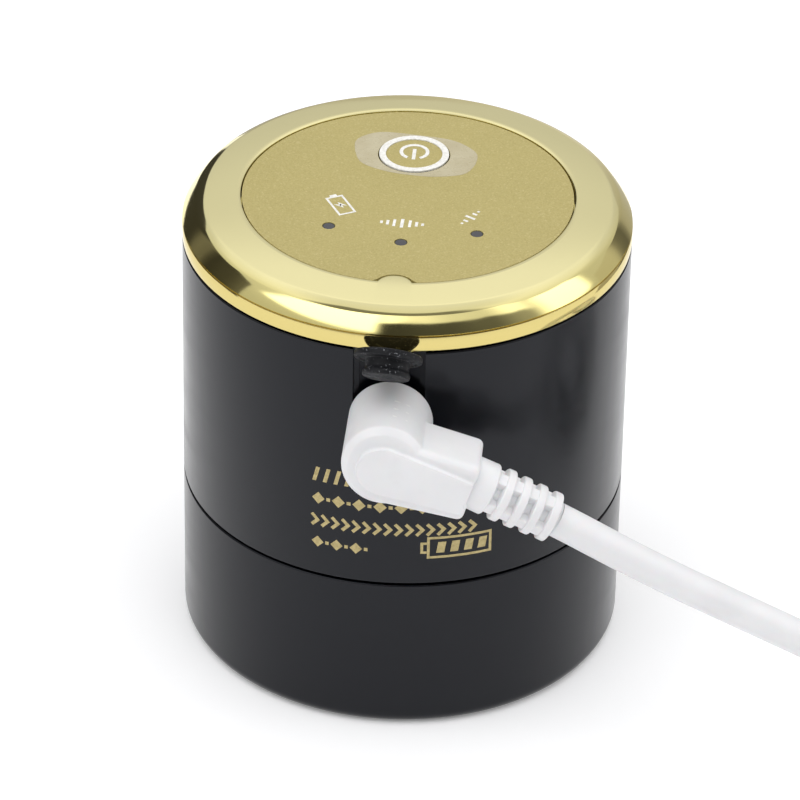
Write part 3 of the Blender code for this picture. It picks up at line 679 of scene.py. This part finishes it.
# ---------------------------------------------------------------- shells
def make_cap():
    bm = turned([
        (0, 0), (R - 3.2, 0), (R - 0.02, 0.02, 1.7), (R, CAP_TOP, 0.22), (WALL_R, CAP_TOP, 0.2),
        (WALL_R, 2.2, 1.4), (0, 2.2),
    ], 192, closed=False, fine=9)
    add("cap_shell", bm, "black_gloss", "travel_cap", ("travel_cap",))


def pocket_outline(half, top):
    """A slot that is open at the top and has a half-round bottom on the port's axis."""
    bottom = arc(half, 180, 360, 28, (0.0, JACK_Z))[1:-1]
    return [(-half, top), (-half, JACK_Z), *bottom, (half, JACK_Z), (half, top)]


def make_housing():
    """The black sleeve, with the stepped recess round the port and a slot for the stopper's strap."""
    z0, z1 = SLEEVE_Z
    outside = R + 3
    bm = turned([(R, z1, 0.2), (WALL_R, z1), (WALL_R, z0), (R, z0, 0.22)], 240, fine=15)
    made = add("housing_shell", bm, "black_gloss", None)
    steps = ((4.45, 27.28), (4.30, 26.35), (3.60, 26.12))      # half width, and how far out its floor is
    cuts = [tool(prism(pocket_outline(half, z1 + 2), floor, outside), FRONT) for half, floor in steps]
    cuts.append(tool(prism(circle(3.4, 40, (0.0, JACK_Z)), 20, outside), FRONT))
    cuts.append(tool(box((-2.8, -28, 52.3), (2.8, -23, z1 + 2))))
    boolean(made, *cuts)
    settle(made, "housing", ("housing_sleeve",))


def key_edge(radius, offset, angle):
    """How near the axis the round key reaches at an angle, or the plain radius where there is no key."""
    away = angle + math.pi / 2
    side = abs(KEY_Y) * math.sin(away)
    if math.cos(away) <= 0 or abs(side) >= radius:
        return offset
    return min(offset, abs(KEY_Y) * math.cos(away) - math.sqrt(radius * radius - side * side))


def ring_angles():
    """Even steps round the ring, with many more across the key at the front."""
    coarse = [math.radians(-84 + 348 * k / 232) for k in range(232)]
    fine = [math.radians(-96 + 12 * k / 72) for k in range(72)]
    return coarse + fine


def make_trim_ring():
    """The plated ring, whose lip swells into the key that holds the panel."""
    bow = 0.075
    slope = []
    for k in range(1, 9):
        share = k / 8
        bulge = bow * 4 * share * (1 - share)
        slope.append((25.87 + 1.56 * share + 0.79 * bulge, 59.03 - 2.06 * share + 0.61 * bulge))
    outline = rounded([
        (20.97, 59.97, 0.9), (24.95, 59.52, 1.2), (25.87, 59.03, 1.7), *slope,
        (R - 0.03, 56.90), (R - 0.07, 56.82), (27.34, 56.80), (27.34, 56.70), (R - 0.05, 56.68), (R, 56.6),
        (R, 54.75, 0.12),
        (25.0, 54.75), (25.0, 52.4), (23.8, 52.4), (23.8, 56.4), (23.0, 57.2), (18.2, 57.2), (18.2, 57.95),
        (RING_LIP, 57.95), (RING_LIP, 59.72), (RING_LIP + 0.04, 59.86), (RING_LIP + 0.14, 59.93),
        (RING_LIP + 0.30, 59.965),
    ], 8)
    bm = bmesh.new()
    columns = []
    for angle in ring_angles():
        lip = key_edge(KEY_R, RING_LIP, angle)
        column = []
        for r, z in outline:
            inner = RING_LIP - 0.01 <= r <= 21.0 and z > 57.9
            reach = r - (RING_LIP - lip) if inner and z < 59.999 else r
            if inner and z >= 59.9 and r > RING_LIP + 0.3:
                reach = min(r, lip + (r - RING_LIP))
            column.append(bm.verts.new((reach * math.cos(angle), reach * math.sin(angle), z)))
        columns.append(column)
    for here, there in zip(columns, columns[1:] + columns[:1]):
        for j in range(len(outline)):
            i = (j + 1) % len(outline)
            bm.faces.new((here[j], there[j], there[i], here[i]))
    bmesh.ops.recalc_face_normals(bm, faces=bm.faces)
    add("trim_ring", bm, "gold_plate", "housing", ("gold_trim_ring",), sharp=38)


def make_panel():
    """The notched panel, its three lenses, and the varnished patch round the button."""
    outline = []
    for a in ring_angles():
        reach = key_edge(NOTCH_R, PANEL_R, a)
        outline.append((reach * math.cos(a), reach * math.sin(a)))
    made = add("panel_face", prism(outline, 58.25, PANEL_TOP, 0.10), "gold_paint", None)
    through = (57, 61)
    cuts = [tool(prism(circle(BUTTON_HOLE_R, 72, (0, BUTTON_Y)), *through))]
    cuts += [tool(prism(circle(0.80, 32, spot), *through)) for spot in LED_SPOTS.values()]
    boolean(made, *cuts)
    settle(made, "housing", ("control_panel",))
    for name, (x, y) in LED_SPOTS.items():
        bm = turned([(0, 55.0), (0.72, 55.0), (0.72, 59.74, 0.06), (0, 59.76)], 32, closed=False)
        add("led_lens_" + name, bm, "window", "housing", ("led_window_" + name,), at=(x, y, 0))
    outline = []
    for k in range(96):
        a = math.tau * k / 96
        wobble = 1 + 0.018 * math.sin(3 * a + 0.6) + 0.012 * math.sin(7 * a)
        x = 7.6 * math.copysign(abs(math.cos(a)) ** 0.72, math.cos(a)) * wobble
        y = 4.9 * math.copysign(abs(math.sin(a)) ** 0.80, math.sin(a)) * wobble
        outline.append((x + 0.1, y + BUTTON_Y - 0.12 * x))
    patch = add("touch_patch", prism(outline, PANEL_TOP - 0.02, PANEL_TOP + 0.02), "varnish", None)
    boolean(patch, tool(prism(circle(BUTTON_HOLE_R + 0.02, 72, (0, BUTTON_Y)), *through)))
    settle(patch, "housing")


def make_button():
    """The button's face, its raised white ring, and the power symbol."""
    bm = turned([
        (0, 58.0), (1.5, 58.0), (1.5, 58.55), (4.2, 58.55), (4.2, 59.80, 0.1), (4.0, 59.82), (3.45, 59.82),
        (3.35, 59.84), (0, 59.86),
    ], 96, closed=False)
    add("button_face", bm, "gold_paint", "power_button", ("button_cap",), at=(0, BUTTON_Y, 0))
    bm = turned([(3.5, 59.70), (4.30, 59.70), (4.34, 60.00, 0.10), (3.46, 60.00, 0.10)], 96)
    add("button_halo", bm, "print_white", "power_button", at=(0, BUTTON_Y, 0))
    top = 59.90
    icon = prism(arc(1.85, -62, 242, 40) + arc(1.40, 242, -62, 40), top - 0.1, top, 0.03, 1)
    bar = prism(rect(-0.22, -1.35, 0.22, 1.15), top - 0.1, top, 0.03, 1)
    add("power_arc", icon, "print_white", "power_button", at=(0, BUTTON_Y + 0.5, 0))
    add("power_bar", bar, "print_white", "power_button", at=(0, BUTTON_Y, 0))


# ---------------------------------------------------------------- printed pictograms
def stroke(points, width, closed=False):
    """Quads that follow a line of points, with mitred corners."""
    pts = [Vector(p) for p in points]
    count = len(pts)
    sides = []
    for i, p in enumerate(pts):
        before = pts[i - 1] if i or closed else None
        after = pts[(i + 1) % count] if i < count - 1 or closed else None
        d1 = (p - before).normalized() if before is not None else (after - p).normalized()
        d2 = (after - p).normalized() if after is not None else d1
        normal = Vector((-(d1 + d2).y, (d1 + d2).x)).normalized()
        reach = width / 2 / max(0.35, normal.dot(Vector((-d1.y, d1.x))))
        sides.append((p + normal * reach, p - normal * reach))
    out = []
    for i in range(count if closed else count - 1):
        a, b = sides[i], sides[(i + 1) % count]
        out.append([a[0], b[0], b[1], a[1]])
    return out


def rect(x0, y0, x1, y1):
    return [(x0, y0), (x1, y0), (x1, y1), (x0, y1)]


def flat_print(name, shapes, place):
    """Thin white shapes printed on the panel. place turns a shape's X and Y into the panel's."""
    thick = 0.03
    bm = bmesh.new()
    for shape in shapes:
        verts = [bm.verts.new((*place(*point), 0)) for point in shape]
        face = bm.faces.new(verts)
        pulled = bmesh.ops.extrude_face_region(bm, geom=[face])["geom"]
        top = [v for v in pulled if isinstance(v, bmesh.types.BMVert)]
        bmesh.ops.translate(bm, verts=top, vec=(0, 0, thick))
    bmesh.ops.translate(bm, verts=bm.verts, vec=(0, 0, PANEL_TOP - thick / 3))
    bmesh.ops.recalc_face_normals(bm, faces=bm.faces)
    add(name, bm, "print_white", "housing")


def wrap_print(name, shapes):
    """Gold shapes printed on the housing. A shape's X is a length along the wall from the port's side,
    and its Y a height."""
    radius = R + 0.012
    strip = 0.6
    bm = bmesh.new()
    for shape in shapes:
        bm.faces.new([bm.verts.new((x, y, 0)) for x, y in shape])
    low = min(v.co.x for v in bm.verts)
    high = max(v.co.x for v in bm.verts)
    cut = math.ceil(low / strip) * strip
    while cut < high:
        everything = bm.verts[:] + bm.edges[:] + bm.faces[:]
        bmesh.ops.bisect_plane(bm, geom=everything, plane_co=(cut, 0, 0), plane_no=(1, 0, 0))
        cut += strip
    for v in bm.verts:
        angle = v.co.x / radius - math.pi / 2
        v.co = Vector((radius * math.cos(angle), radius * math.sin(angle), v.co.y))
    for face in bm.faces:
        face.normal_update()
        middle = face.calc_center_median()
        if face.normal.dot(Vector((middle.x, middle.y, 0))) < 0:
            face.normal_flip()
    add(name, bm, "print_gold", "housing")


def turned_place(x, y, angle):
    """Places a pictogram at a spot, turned by an angle: at 180 its own up points at the port."""
    a = math.radians(angle)
    return lambda u, v: (x + u * math.cos(a) - v * math.sin(a), y + u * math.sin(a) + v * math.cos(a))


def bars(centre, *others):
    """An upright bar, as (half width, half height), and others mirrored about it at a distance."""
    wide, high = centre
    out = [rect(-wide, -high, wide, high)]
    for side in (-1, 1):
        for away, wide, high in others:
            out.append(rect(side * away - wide, -high, side * away + wide, high))
    return out


def make_pictograms():
    """A battery with a bolt in it, strong vibration, and gentle vibration."""
    battery = stroke([(-2.2, -1.0), (1.9, -1.0), (1.9, 1.0), (-2.2, 1.0)], 0.27, True)
    battery += [rect(2.04, -0.45, 2.45, 0.45)]
    battery += [[(0.35, 0.72), (-0.85, -0.12), (-0.12, -0.12)], [(-0.55, -0.72), (0.65, 0.12), (-0.08, 0.12)]]
    battery += [[(-0.12, -0.12), (0.18, -0.12), (-0.08, 0.12), (-0.38, 0.12)]]
    strong = bars((0.2, 1.0), (0.95, 0.17, 0.78), (1.75, 0.17, 0.52), (2.5, 0.17, 0.28))
    gentle = bars((0.18, 0.7), (0.95, 0.16, 0.32), (1.7, 0.15, 0.15))
    flat_print("charge_pictogram", battery, turned_place(-8.0, -3.1, 118))
    flat_print("high_pictogram", strong, turned_place(-0.2, -6.7, 178))
    flat_print("low_pictogram", gentle, turned_place(7.9, -4.5, 238))


def ornament(kind, x0, x1, y0, y1):
    """A regular border of one height: lozenges with a bar between them, chevrons, or slanted bars."""
    high = y1 - y0
    mid = (y0 + y1) / 2
    step = {"lozenge": high * 1.35, "chevron": high * 0.72, "slant": high * 0.62}[kind]
    count = int((x1 - x0) / step)
    out = []
    for k in range(count):
        x = x0 + step * k
        if kind == "lozenge":
            wide = high * 0.86
            out += [[(x, mid), (x + wide / 2, y0 + 0.1), (x + wide, mid), (x + wide / 2, y1 - 0.1)]]
            out += [rect(x + wide + 0.22, mid - 0.24, x + step - 0.22, mid + 0.24)]
        elif kind == "chevron":
            out += stroke([(x, y0 + 0.1), (x + high * 0.42, mid), (x, y1 - 0.1)], 0.44)
        else:
            out += [[(x, y0 + 0.1), (x + 0.5, y0 + 0.1), (x + 1.0, y1 - 0.1), (x + 0.5, y1 - 0.1)]]
    return out


def make_wall_print():
    """Four rows of ornament, and a battery outline with four cells at the end of the last."""
    left = -9.3
    shapes = ornament("slant", left, 6.4, 34.75, 36.95)
    shapes += ornament("lozenge", left, 6.6, 31.45, 33.35)
    shapes += ornament("chevron", left, 12.0, 28.3, 30.1)
    shapes += ornament("lozenge", left, -1.6, 25.15, 26.95)
    low, high = 25.15, 27.95
    shapes += stroke([(5.15, low), (12.9, low), (12.9, high), (5.15, high)], 0.34, True)
    shapes += stroke([(4.95, low + 0.75), (4.35, low + 0.75), (4.35, high - 0.75), (4.95, high - 0.75)], 0.34)
    for k in range(4):
        x = 6.1 + 1.72 * k
        shapes += [[(x, low + 0.62), (x + 1.0, low + 0.62), (x + 1.25, high - 0.62), (x + 0.25, high - 0.62)]]
    wrap_print("wall_print", shapes)


# ---------------------------------------------------------------- port stopper
HINGE = next(joint["pos_m"] for joint in frame["joints"] if joint["name"] == "stopper_flip")
STOPPER_AT = Vector([c / MM for c in HINGE]) - Vector((0.1, 0, 0))
STOPPER_TURN = Matrix.Rotation(math.radians(5), 3, "Y") @ Matrix.Rotation(math.radians(-133), 3, "X")


def make_stopper():
    """Rubber stopper swung open: a round flange on a strap, with the knob that fills the port."""
    centre = (0.0, -4.6)
    flange = turned([
        (0, 0), (3.1, 0.0), (4.05, -0.05, 0.22), (4.05, -0.86, 0.2), (3.55, -0.95, 0.1), (3.35, -0.78, 0.15),
        (2.66, -0.85, 0.15), (2.62, -2.0, 0.6), (2.86, -2.35, 0.2), (2.84, -2.92, 0.25), (0, -3.02),
    ], 72, closed=False, fine=14)
    bmesh.ops.translate(flange, verts=flange.verts, vec=(centre[0], centre[1], 0))
    made = tool(flange)
    outline = [(-2.5, -1.6), (-3.3, -2.9), (3.3, -2.9), (2.5, -1.6), (2.3, -0.4), (-2.3, -0.4)]
    strap = prism(outline, -0.85, -0.05)
    boolean(made, tool(strap), how="UNION")
    apply(made, ("REMESH", {"mode": "VOXEL", "voxel_size": 0.09 * MM}),
          ("SMOOTH", {"factor": 0.5, "iterations": 2}))
    made.data.shade_smooth()
    place = Matrix.Translation(STOPPER_AT * MM) @ (STOPPER_TURN @ FRONT).to_4x4()
    dress(made, "stopper_rubber", "black_rubber", "port_stopper", place)


# ---------------------------------------------------------------- charging plug
def make_plug():
    """Right-angle plug head: a round boss on the port's axis, and an arm that runs down to the relief."""
    head = turned([
        (0, 26.4), (3.2, 26.4), (3.2, 27.35), (5.36, 27.35, 0.25), (5.42, 37.3, 0.4), (4.7, 38.12, 0.35),
        (3.2, 38.3), (0, 38.3),
    ], 128, closed=False, fine=12)
    bmesh.ops.scale(head, verts=head.verts, vec=(0.94, 1.0, 1.0))
    made = tool(head, FRONT, (0.33, 0, JACK_Z))
    outline = rounded([(0.2, -5.1), (9.65, -7.0, 0.9), (11.8, 0.5, 0.8), (2.0, 3.5), (0.2, 3.5)], 12)
    rear, front = 31.3, 38.25
    arm = prism(outline, rear, front)
    for level, offset, segments, profile in ((front, 1.0, 3, 0.55), (rear, 0.4, 2, 0.5)):
        rim = [e for e in arm.edges if all(abs(v.co.z - level) < 1e-5 for v in e.verts)]
        bmesh.ops.bevel(arm, geom=rim, offset=offset, segments=segments, profile=profile, affect="EDGES")
    lean = math.radians(-17.4)
    shape = arc(3.25, 90, 270, 24, (0.3, 0.0)) + [(10.8, -2.5), (10.8, 2.2)]
    shape = [(x * math.cos(lean) - y * math.sin(lean), x * math.sin(lean) + y * math.cos(lean))
             for x, y in shape]
    raised = -node_box("plug_head")[0][1]
    plate = prism(shape, raised - 1.3, raised, 0.58)
    gather(made, tool(arm, FRONT, (0, 0, JACK_Z)), tool(plate, FRONT, (0, 0, JACK_Z)))
    apply(made, ("REMESH", {"mode": "VOXEL", "voxel_size": 0.13 * MM}),
          ("SMOOTH", {"factor": 0.5, "iterations": 4}))
    made.data.shade_smooth()
    dress(made, "plug_body", "white_pvc", "plug_head")
    angle = math.radians(69)
    outward = Vector((math.cos(angle), 0, math.sin(angle)))
    turn = Matrix.Rotation(math.pi / 2 - angle, 3, "Y")
    for k in range(3):
        at = Vector((0, -31.6 - 1.6 * k, JACK_Z)) + outward * 5.36
        bm = box((-0.95, -0.11, -0.09), (0.95, 0.11, 0.09), 0.06, 1)
        add("plug_tick_%d" % (k + 1), bm, "white_plastic", "charging_lead", turn=turn, at=at)


RELIEF_AT = Vector((10.2, ARM_Y, 42.2))
RELIEF_TURN = Matrix.Rotation(math.radians(90 + 24.9), 3, "Y")


def make_relief():
    """Strain relief: a collar, then four rings joined by bars, with windows down to the core."""
    core = 1.95
    profile = [(0, -0.4), (3.15, -0.4), (3.2, 2.75, 0.3), (2.2, 3.05), (core, 3.15)]
    for k in range(4):
        start = 3.75 + 2.06 * k
        rim = 3.24 - 0.06 * k
        profile += [(core, start - 0.02), (rim, start + 0.14, 0.2)]
        profile += [(rim, start + 1.12, 0.2), (core, start + 1.28)]
    profile += [(core, 11.3), (2.1, 11.5), (0, 11.5)]
    made = tool(turned(profile, 64, closed=False, fine=20))
    ribs = []
    for k in range(4):
        turn = Matrix.Rotation(math.radians(90 * k + 20), 3, "Z")
        ribs.append(tool(box((1.4, -0.82, 2.4), (2.86, 0.82, 10.6), 0.2, 2), turn))
    boolean(made, *ribs, how="UNION", sharp=40)
    edges = {"width": 0.07 * MM, "segments": 2, "limit_method": "ANGLE", "angle_limit": math.radians(40)}
    apply(made, ("BEVEL", edges))
    place = Matrix.Translation(RELIEF_AT * MM) @ RELIEF_TURN.to_4x4()
    dress(made, "relief_body", "white_pvc", "strain_relief", place)
    shade(made, 50)


# ---------------------------------------------------------------- USB plug and tie
def make_usb():
    """The USB plug: a ribbed grip, the metal shell with its two windows, and four contacts."""
    place = Matrix.Translation(Vector(USB_BACK) * MM) @ USB_TURN.to_4x4()
    grip = tool(box((0, -7.8, -3.9), (21, 7.8, 3.9), 1.5, 5))
    grooves = []
    for k in range(4):
        for side in (-1, 1):
            y0, y1 = sorted((side * 7.45, side * 8.4))
            grooves.append(tool(box((5.5 + 2.6 * k, y0, -2.4), (6.7 + 2.6 * k, y1, 2.4), 0.2, 1)))
    boolean(grip, *grooves)
    dress(grip, "usb_grip", "white_pvc", "usb_overmold", place)
    shell = tool(box((21.3, -6.0, -2.25), (39.6, 6.0, 2.25), 0.35, 2))
    mouth = box((22.0, -5.65, -1.9), (41.0, 5.65, 1.9))
    windows = [box((29.5, y, 1.0), (31.6, y + 2.1, 3.0)) for y in (-3.6, 1.5)]
    boolean(shell, tool(mouth), *[tool(window) for window in windows])
    dress(shell, "usb_metal", "steel", "usb_shell", place)
    for k in range(4):
        y = -3.5 + 7.0 * k / 3
        add("usb_contact_%d" % (k + 1), box((27.0, y - 0.5, -0.28), (37.6, y + 0.5, -0.1), 0.05, 1), "brass",
            "charging_lead", turn=USB_TURN, at=USB_BACK)
    return [grip, shell]


def make_tie():
    """The plain strap round the coil."""
    inner, outer = 17.3, 30.7
    top = 9.7
    band = tool(box((inner - 0.6, -3.5, 0.0), (outer + 0.6, 3.5, top + 0.6), 0.5, 3))
    boolean(band, tool(box((inner, -4.5, 0.55), (outer, 4.5, top), 0.5, 3)))
    turn = Matrix.Rotation(math.radians(150), 4, "Z")
    dress(band, "tie_strap", "white_plastic", "coil_tie", Matrix.Translation(Vector((*COIL, 0)) * MM) @ turn)
    return band


# ---------------------------------------------------------------- brush head
def make_brush():
    """The disc, with its hub and three bayonet slots, and two fields of tufts."""
    underside = node_box("brush_disc")[0][2]
    rim, _, top = node_box("brush_disc")[1]
    bm = turned([
        (0, 14.7), (8.7, 14.7), (8.7, 19.3), (6.9, 19.3), (6.9, top), (11.0, top, 0.4), (11.0, 16.8, 0.6),
        (21.0, 16.8), (rim, 16.2, 0.5), (rim, 14.0, 0.5), (21.0, underside), (0, underside),
    ], 96, closed=False)
    made = add("brush_plate", bm, "white_plastic", None)
    cuts = []
    for k in range(3):
        turn = Matrix.Rotation(math.radians(120 * k - 30), 3, "Z")
        cuts.append(tool(box((6.0, -1.9, 19.0), (8.6, 1.9, 21.0)), turn))
    boolean(made, *cuts)
    settle(made, "brush_head", ("brush_disc",))
    pitch = 2.1
    for name, node, rings in (
        ("tufts_outer", "bristle_field_outer", (13.4, 15.2, 17.0, 18.8, 20.3)),
        ("tufts_inner", "bristle_field_inner", (0.0, 2.3, 4.6, 6.9, 9.2, 10.9)),
    ):
        rnd = Random(name)
        tip = node_box(node)[0][2]
        bm = bmesh.new()
        for ring in rings:
            count = max(1, round(math.tau * ring / pitch))
            for k in range(count):
                a = math.tau * (k + 0.37 * ring) / count
                tuft(bm, ring * math.cos(a), ring * math.sin(a), underside, tip, rnd)
        add(name, bm, "bristle", "brush_head", (node,), sharp=60)


def tuft(bm, x, y, root, tip, rnd):
    """A bundle of tapering filaments that splay from one hole."""
    sides = 5
    for _ in range(11):
        a = rnd.random() * math.tau
        spread = math.sqrt(rnd.random())
        low = tip + rnd.random() * 0.35
        base = Vector((x + 0.50 * spread * math.cos(a), y + 0.50 * spread * math.sin(a), root))
        end = Vector((x + 0.92 * spread * math.cos(a), y + 0.92 * spread * math.sin(a), low))
        rings = []
        for share, radius in ((0.0, 0.13), (0.7, 0.12), (0.95, 0.07)):
            centre = base.lerp(end, share)
            turns = [math.tau * i / sides for i in range(sides)]
            rings.append([bm.verts.new(centre + Vector((radius * math.cos(t), radius * math.sin(t), 0)))
                          for t in turns])
        for low_ring, high_ring in zip(rings, rings[1:]):
            for i in range(sides):
                j = (i + 1) % sides
                bm.faces.new((low_ring[j], low_ring[i], high_ring[i], high_ring[j]))
        point = bm.verts.new(end)
        for i in range(sides):
            bm.faces.new((rings[-1][(i + 1) % sides], rings[-1][i], point))


# ---------------------------------------------------------------- carried-over nodes
def finish_cad_nodes():
    """Every CAD node takes the finish of its own slot."""
    for name, node in frame["nodes"].items():
        finish = FINISH[NODE_SLOT[name]]
        if node.data.materials:
            for k in range(len(node.data.materials)):
                node.data.materials[k] = finish
        else:
            node.data.materials.append(finish)


# ---------------------------------------------------------------- studio
def between(value, *knots):
    """Eased steps through (place, level) knots."""
    if value <= knots[0][0]:
        return knots[0][1]
    for (x0, y0), (x1, y1) in zip(knots, knots[1:]):
        if value <= x1:
            return y0 + (y1 - y0) * ease((value - x0) / (x1 - x0))
    return knots[-1][1]


def reflector(name, azimuths, elevations, distance, level, tint=(1.0, 1.0, 1.0)):
    """A sheet round the product that only its glossy surfaces see. level gives the glow by direction."""
    height = 0.056
    lowest = 0.0008
    bm = bmesh.new()
    layer = bm.verts.layers.float_color.new("glow")
    columns = []
    for azimuth in azimuths:
        a = math.radians(azimuth)
        column = []
        for elevation in elevations:
            el = math.radians(elevation)
            reach = distance * math.cos(el) if elevation > 0 else distance
            z = height + (distance * math.sin(el) if elevation > 0 else distance * math.tan(el))
            vert = bm.verts.new((reach * math.cos(a), reach * math.sin(a), max(lowest, z)))
            glow = level(azimuth, elevation)
            vert[layer] = (glow * tint[0], glow * tint[1], glow * tint[2], 1.0)
            column.append(vert)
        columns.append(column)
    for here, there in zip(columns, columns[1:]):
        for k in range(len(elevations) - 1):
            bm.faces.new((here[k], there[k], there[k + 1], here[k + 1]))
    made = into_scene(name, bm)
    paint = bpy.data.materials.new(name)
    paint.use_nodes = True
    tree = paint.node_tree
    tree.nodes.clear()
    glow = tree.nodes.new("ShaderNodeAttribute")
    glow.attribute_name = "glow"
    light = tree.nodes.new("ShaderNodeEmission")
    end = tree.nodes.new("ShaderNodeOutputMaterial")
    tree.links.new(glow.outputs["Color"], light.inputs["Color"])
    tree.links.new(light.outputs[0], end.inputs[0])
    made.data.materials.append(paint)
    made.visible_camera = False
    made.visible_diffuse = False
    made.visible_shadow = False
    made.visible_transmission = False


def studio_level(azimuth, elevation):
    """Brightness of the studio by direction: azimuth from -180 to 180, elevation from 0 to 90."""
    azimuth = (azimuth - PORT_TURN + 180) % 360 - 180
    level = between(
        elevation, (0, 0.52), (18, 0.60), (31, 0.69), (43, 0.90), (58, 1.0), (75, 0.80), (90, 0.80))
    start = -168 + (elevation - 30) * 0.9
    key = between(azimuth, (start - 4, 0), (start + 3, 1), (-108, 1), (-100, 0))
    key *= between(elevation, (27, 0), (31, 1), (50, 1), (54, 0))
    level += (2.3 - level) * key
    edge = between(azimuth, (-112, 40.5), (-90, 42.6), (-68, 41.2), (-47, 38.8), (-28, 33.2), (-20, 28.0))
    front = between(azimuth, (-108, 0), (-101, 1), (-26, 1), (-19, 0))
    above = between(azimuth, (-100, 1.7), (-84, 1.15), (-60, 0.85), (-45, 0.80), (-30, 1.5))
    below = between(azimuth, (-100, 0.05), (-70, 0.08), (-45, 0.13), (-26, 0.36))
    strip = above if elevation < 51 else between(elevation, (51, above), (55, level))
    shade = between(elevation, (edge - 1.2, below), (edge + 1.2, strip))
    level += (shade - level) * front
    side = between(azimuth, (-24, 0), (-12, 1), (7, 1), (13, 0))
    side *= between(elevation, (8, 0), (13, 1), (36, 1), (42, 0))
    level += (2.1 - level) * side
    roof = between(azimuth, (-170, 0), (-150, 1), (-50, 1), (-20, 0))
    roof *= between(elevation, (52, 0), (56, 1), (70, 1), (75, 0))
    level += (0.22 - level) * roof
    dim = between(azimuth, (8, 0), (16, 1), (40, 1), (50, 0)) * between(elevation, (18, 1), (24, 0))
    return level + (0.62 - level) * dim


def area(name, azimuth, elevation, distance, width, height, radiance):
    """A soft light from a direction, aimed at the upper part of the product. Mirrors don't show it."""
    target = Vector((0, 0, 0.05))
    data = bpy.data.lights.new(name, "AREA")
    data.shape = "RECTANGLE"
    data.size = width
    data.size_y = height
    data.energy = radiance * math.pi * width * height
    made = bpy.data.objects.new(name, data)
    SCENE.collection.objects.link(made)
    a, e = math.radians(azimuth), math.radians(elevation)
    away = Vector((math.cos(e) * math.cos(a), math.cos(e) * math.sin(a), math.sin(e)))
    made.location = target + away * distance
    made.rotation_euler = away.to_track_quat("Z", "Y").to_euler()
    made.visible_glossy = False
    return made


def make_world():
    """A pale surround that is brighter from above."""
    world = bpy.data.worlds.new("studio")
    SCENE.world = world
    world.use_nodes = True
    tree = world.node_tree
    back = tree.nodes["Background"]
    where = tree.nodes.new("ShaderNodeTexCoord")
    split = tree.nodes.new("ShaderNodeSeparateXYZ")
    ramp = tree.nodes.new("ShaderNodeValToRGB")
    tree.links.new(where.outputs["Generated"], split.inputs[0])
    tree.links.new(split.outputs["Z"], ramp.inputs[0])
    tree.links.new(ramp.outputs[0], back.inputs["Color"])
    ends = ramp.color_ramp.elements
    for _ in range(2):
        ends.new(0.5)
    for end, (at, grey) in zip(ends, ((0.0, 0.26), (0.30, 0.34), (0.70, 0.86), (1.0, 1.12))):
        end.position = at
        end.color = (grey, grey, grey * 1.01, 1)


def make_floor():
    """A pale floor, a little below the product's base, with a faint glow that keeps it white."""
    bm = bmesh.new()
    bmesh.ops.create_grid(bm, x_segments=8, y_segments=8, size=4.0)
    made = into_scene("floor", bm)
    n = Nodes("floor_finish")
    n.set(
        Base_Color=n.ramp(n.noise(60.0, 3.0), (0.3, (0.925, 0.925, 0.93)), (0.7, (0.935, 0.935, 0.94))),
        Roughness=0.9,
        Specular_IOR_Level=0.1,
        Emission_Color=rgba((1.0, 1.0, 1.0)),
        Emission_Strength=0.15,
    )
    made.data.materials.append(n.material)
    made.location.z = -0.0001


def flag_left_level(azimuth, elevation):
    return between(azimuth, (146, 0.042), (153, 0.17), (159, 0.15), (165, 0.04), (178, 0.06), (190, 0.12))


def flag_right_level(azimuth, elevation):
    return between(
        azimuth,
        (28, 0.56), (35, 0.17), (42, 0.13), (50, 0.44), (64, 0.50), (78, 0.66), (96, 0.50), (108, 0.42),
    )


def make_studio():
    """Soft lights, and the sheets that give the plated ring and the black gloss something to reflect."""
    make_world()
    make_floor()
    area("front_light", -95, 56, 1.1, 1.2, 0.8, 0.42)
    area("left_light", -158, 50, 1.1, 1.0, 0.9, 1.10)
    area("right_light", -22, 50, 1.1, 1.0, 0.9, 0.95)
    area("top_light", 75, 74, 1.4, 1.2, 1.2, 0.6)
    round_about = range(-180, 181, 2)
    upward = [*range(0, 27, 2), *range(27, 44), *range(46, 89, 2), 89.9]
    reflector("studio_wall", round_about, upward, 2.2, studio_level)
    beside = [-16, -8, 0, 8, 14, 18, 21, 24, 27]
    reflector("flag_left", range(112, 191, 3), beside, 0.30, flag_left_level, (1.0, 0.96, 0.90))
    beside = [-26, -13, 0, 6, 12, 14]
    reflector("flag_right", range(12, 112, 3), beside, 0.16, flag_right_level, (1.0, 0.97, 0.93))


# ---------------------------------------------------------------- assembly
make_cap()
make_housing()
make_trim_ring()
make_panel()
make_button()
make_pictograms()
make_wall_print()
make_stopper()
make_plug()
make_relief()
on_cord = make_usb()
on_cord.append(make_tie())
make_brush()
finish_cad_nodes()
make_studio()

SCENE.view_settings.view_transform = "Standard"
SCENE.view_settings.look = "None"
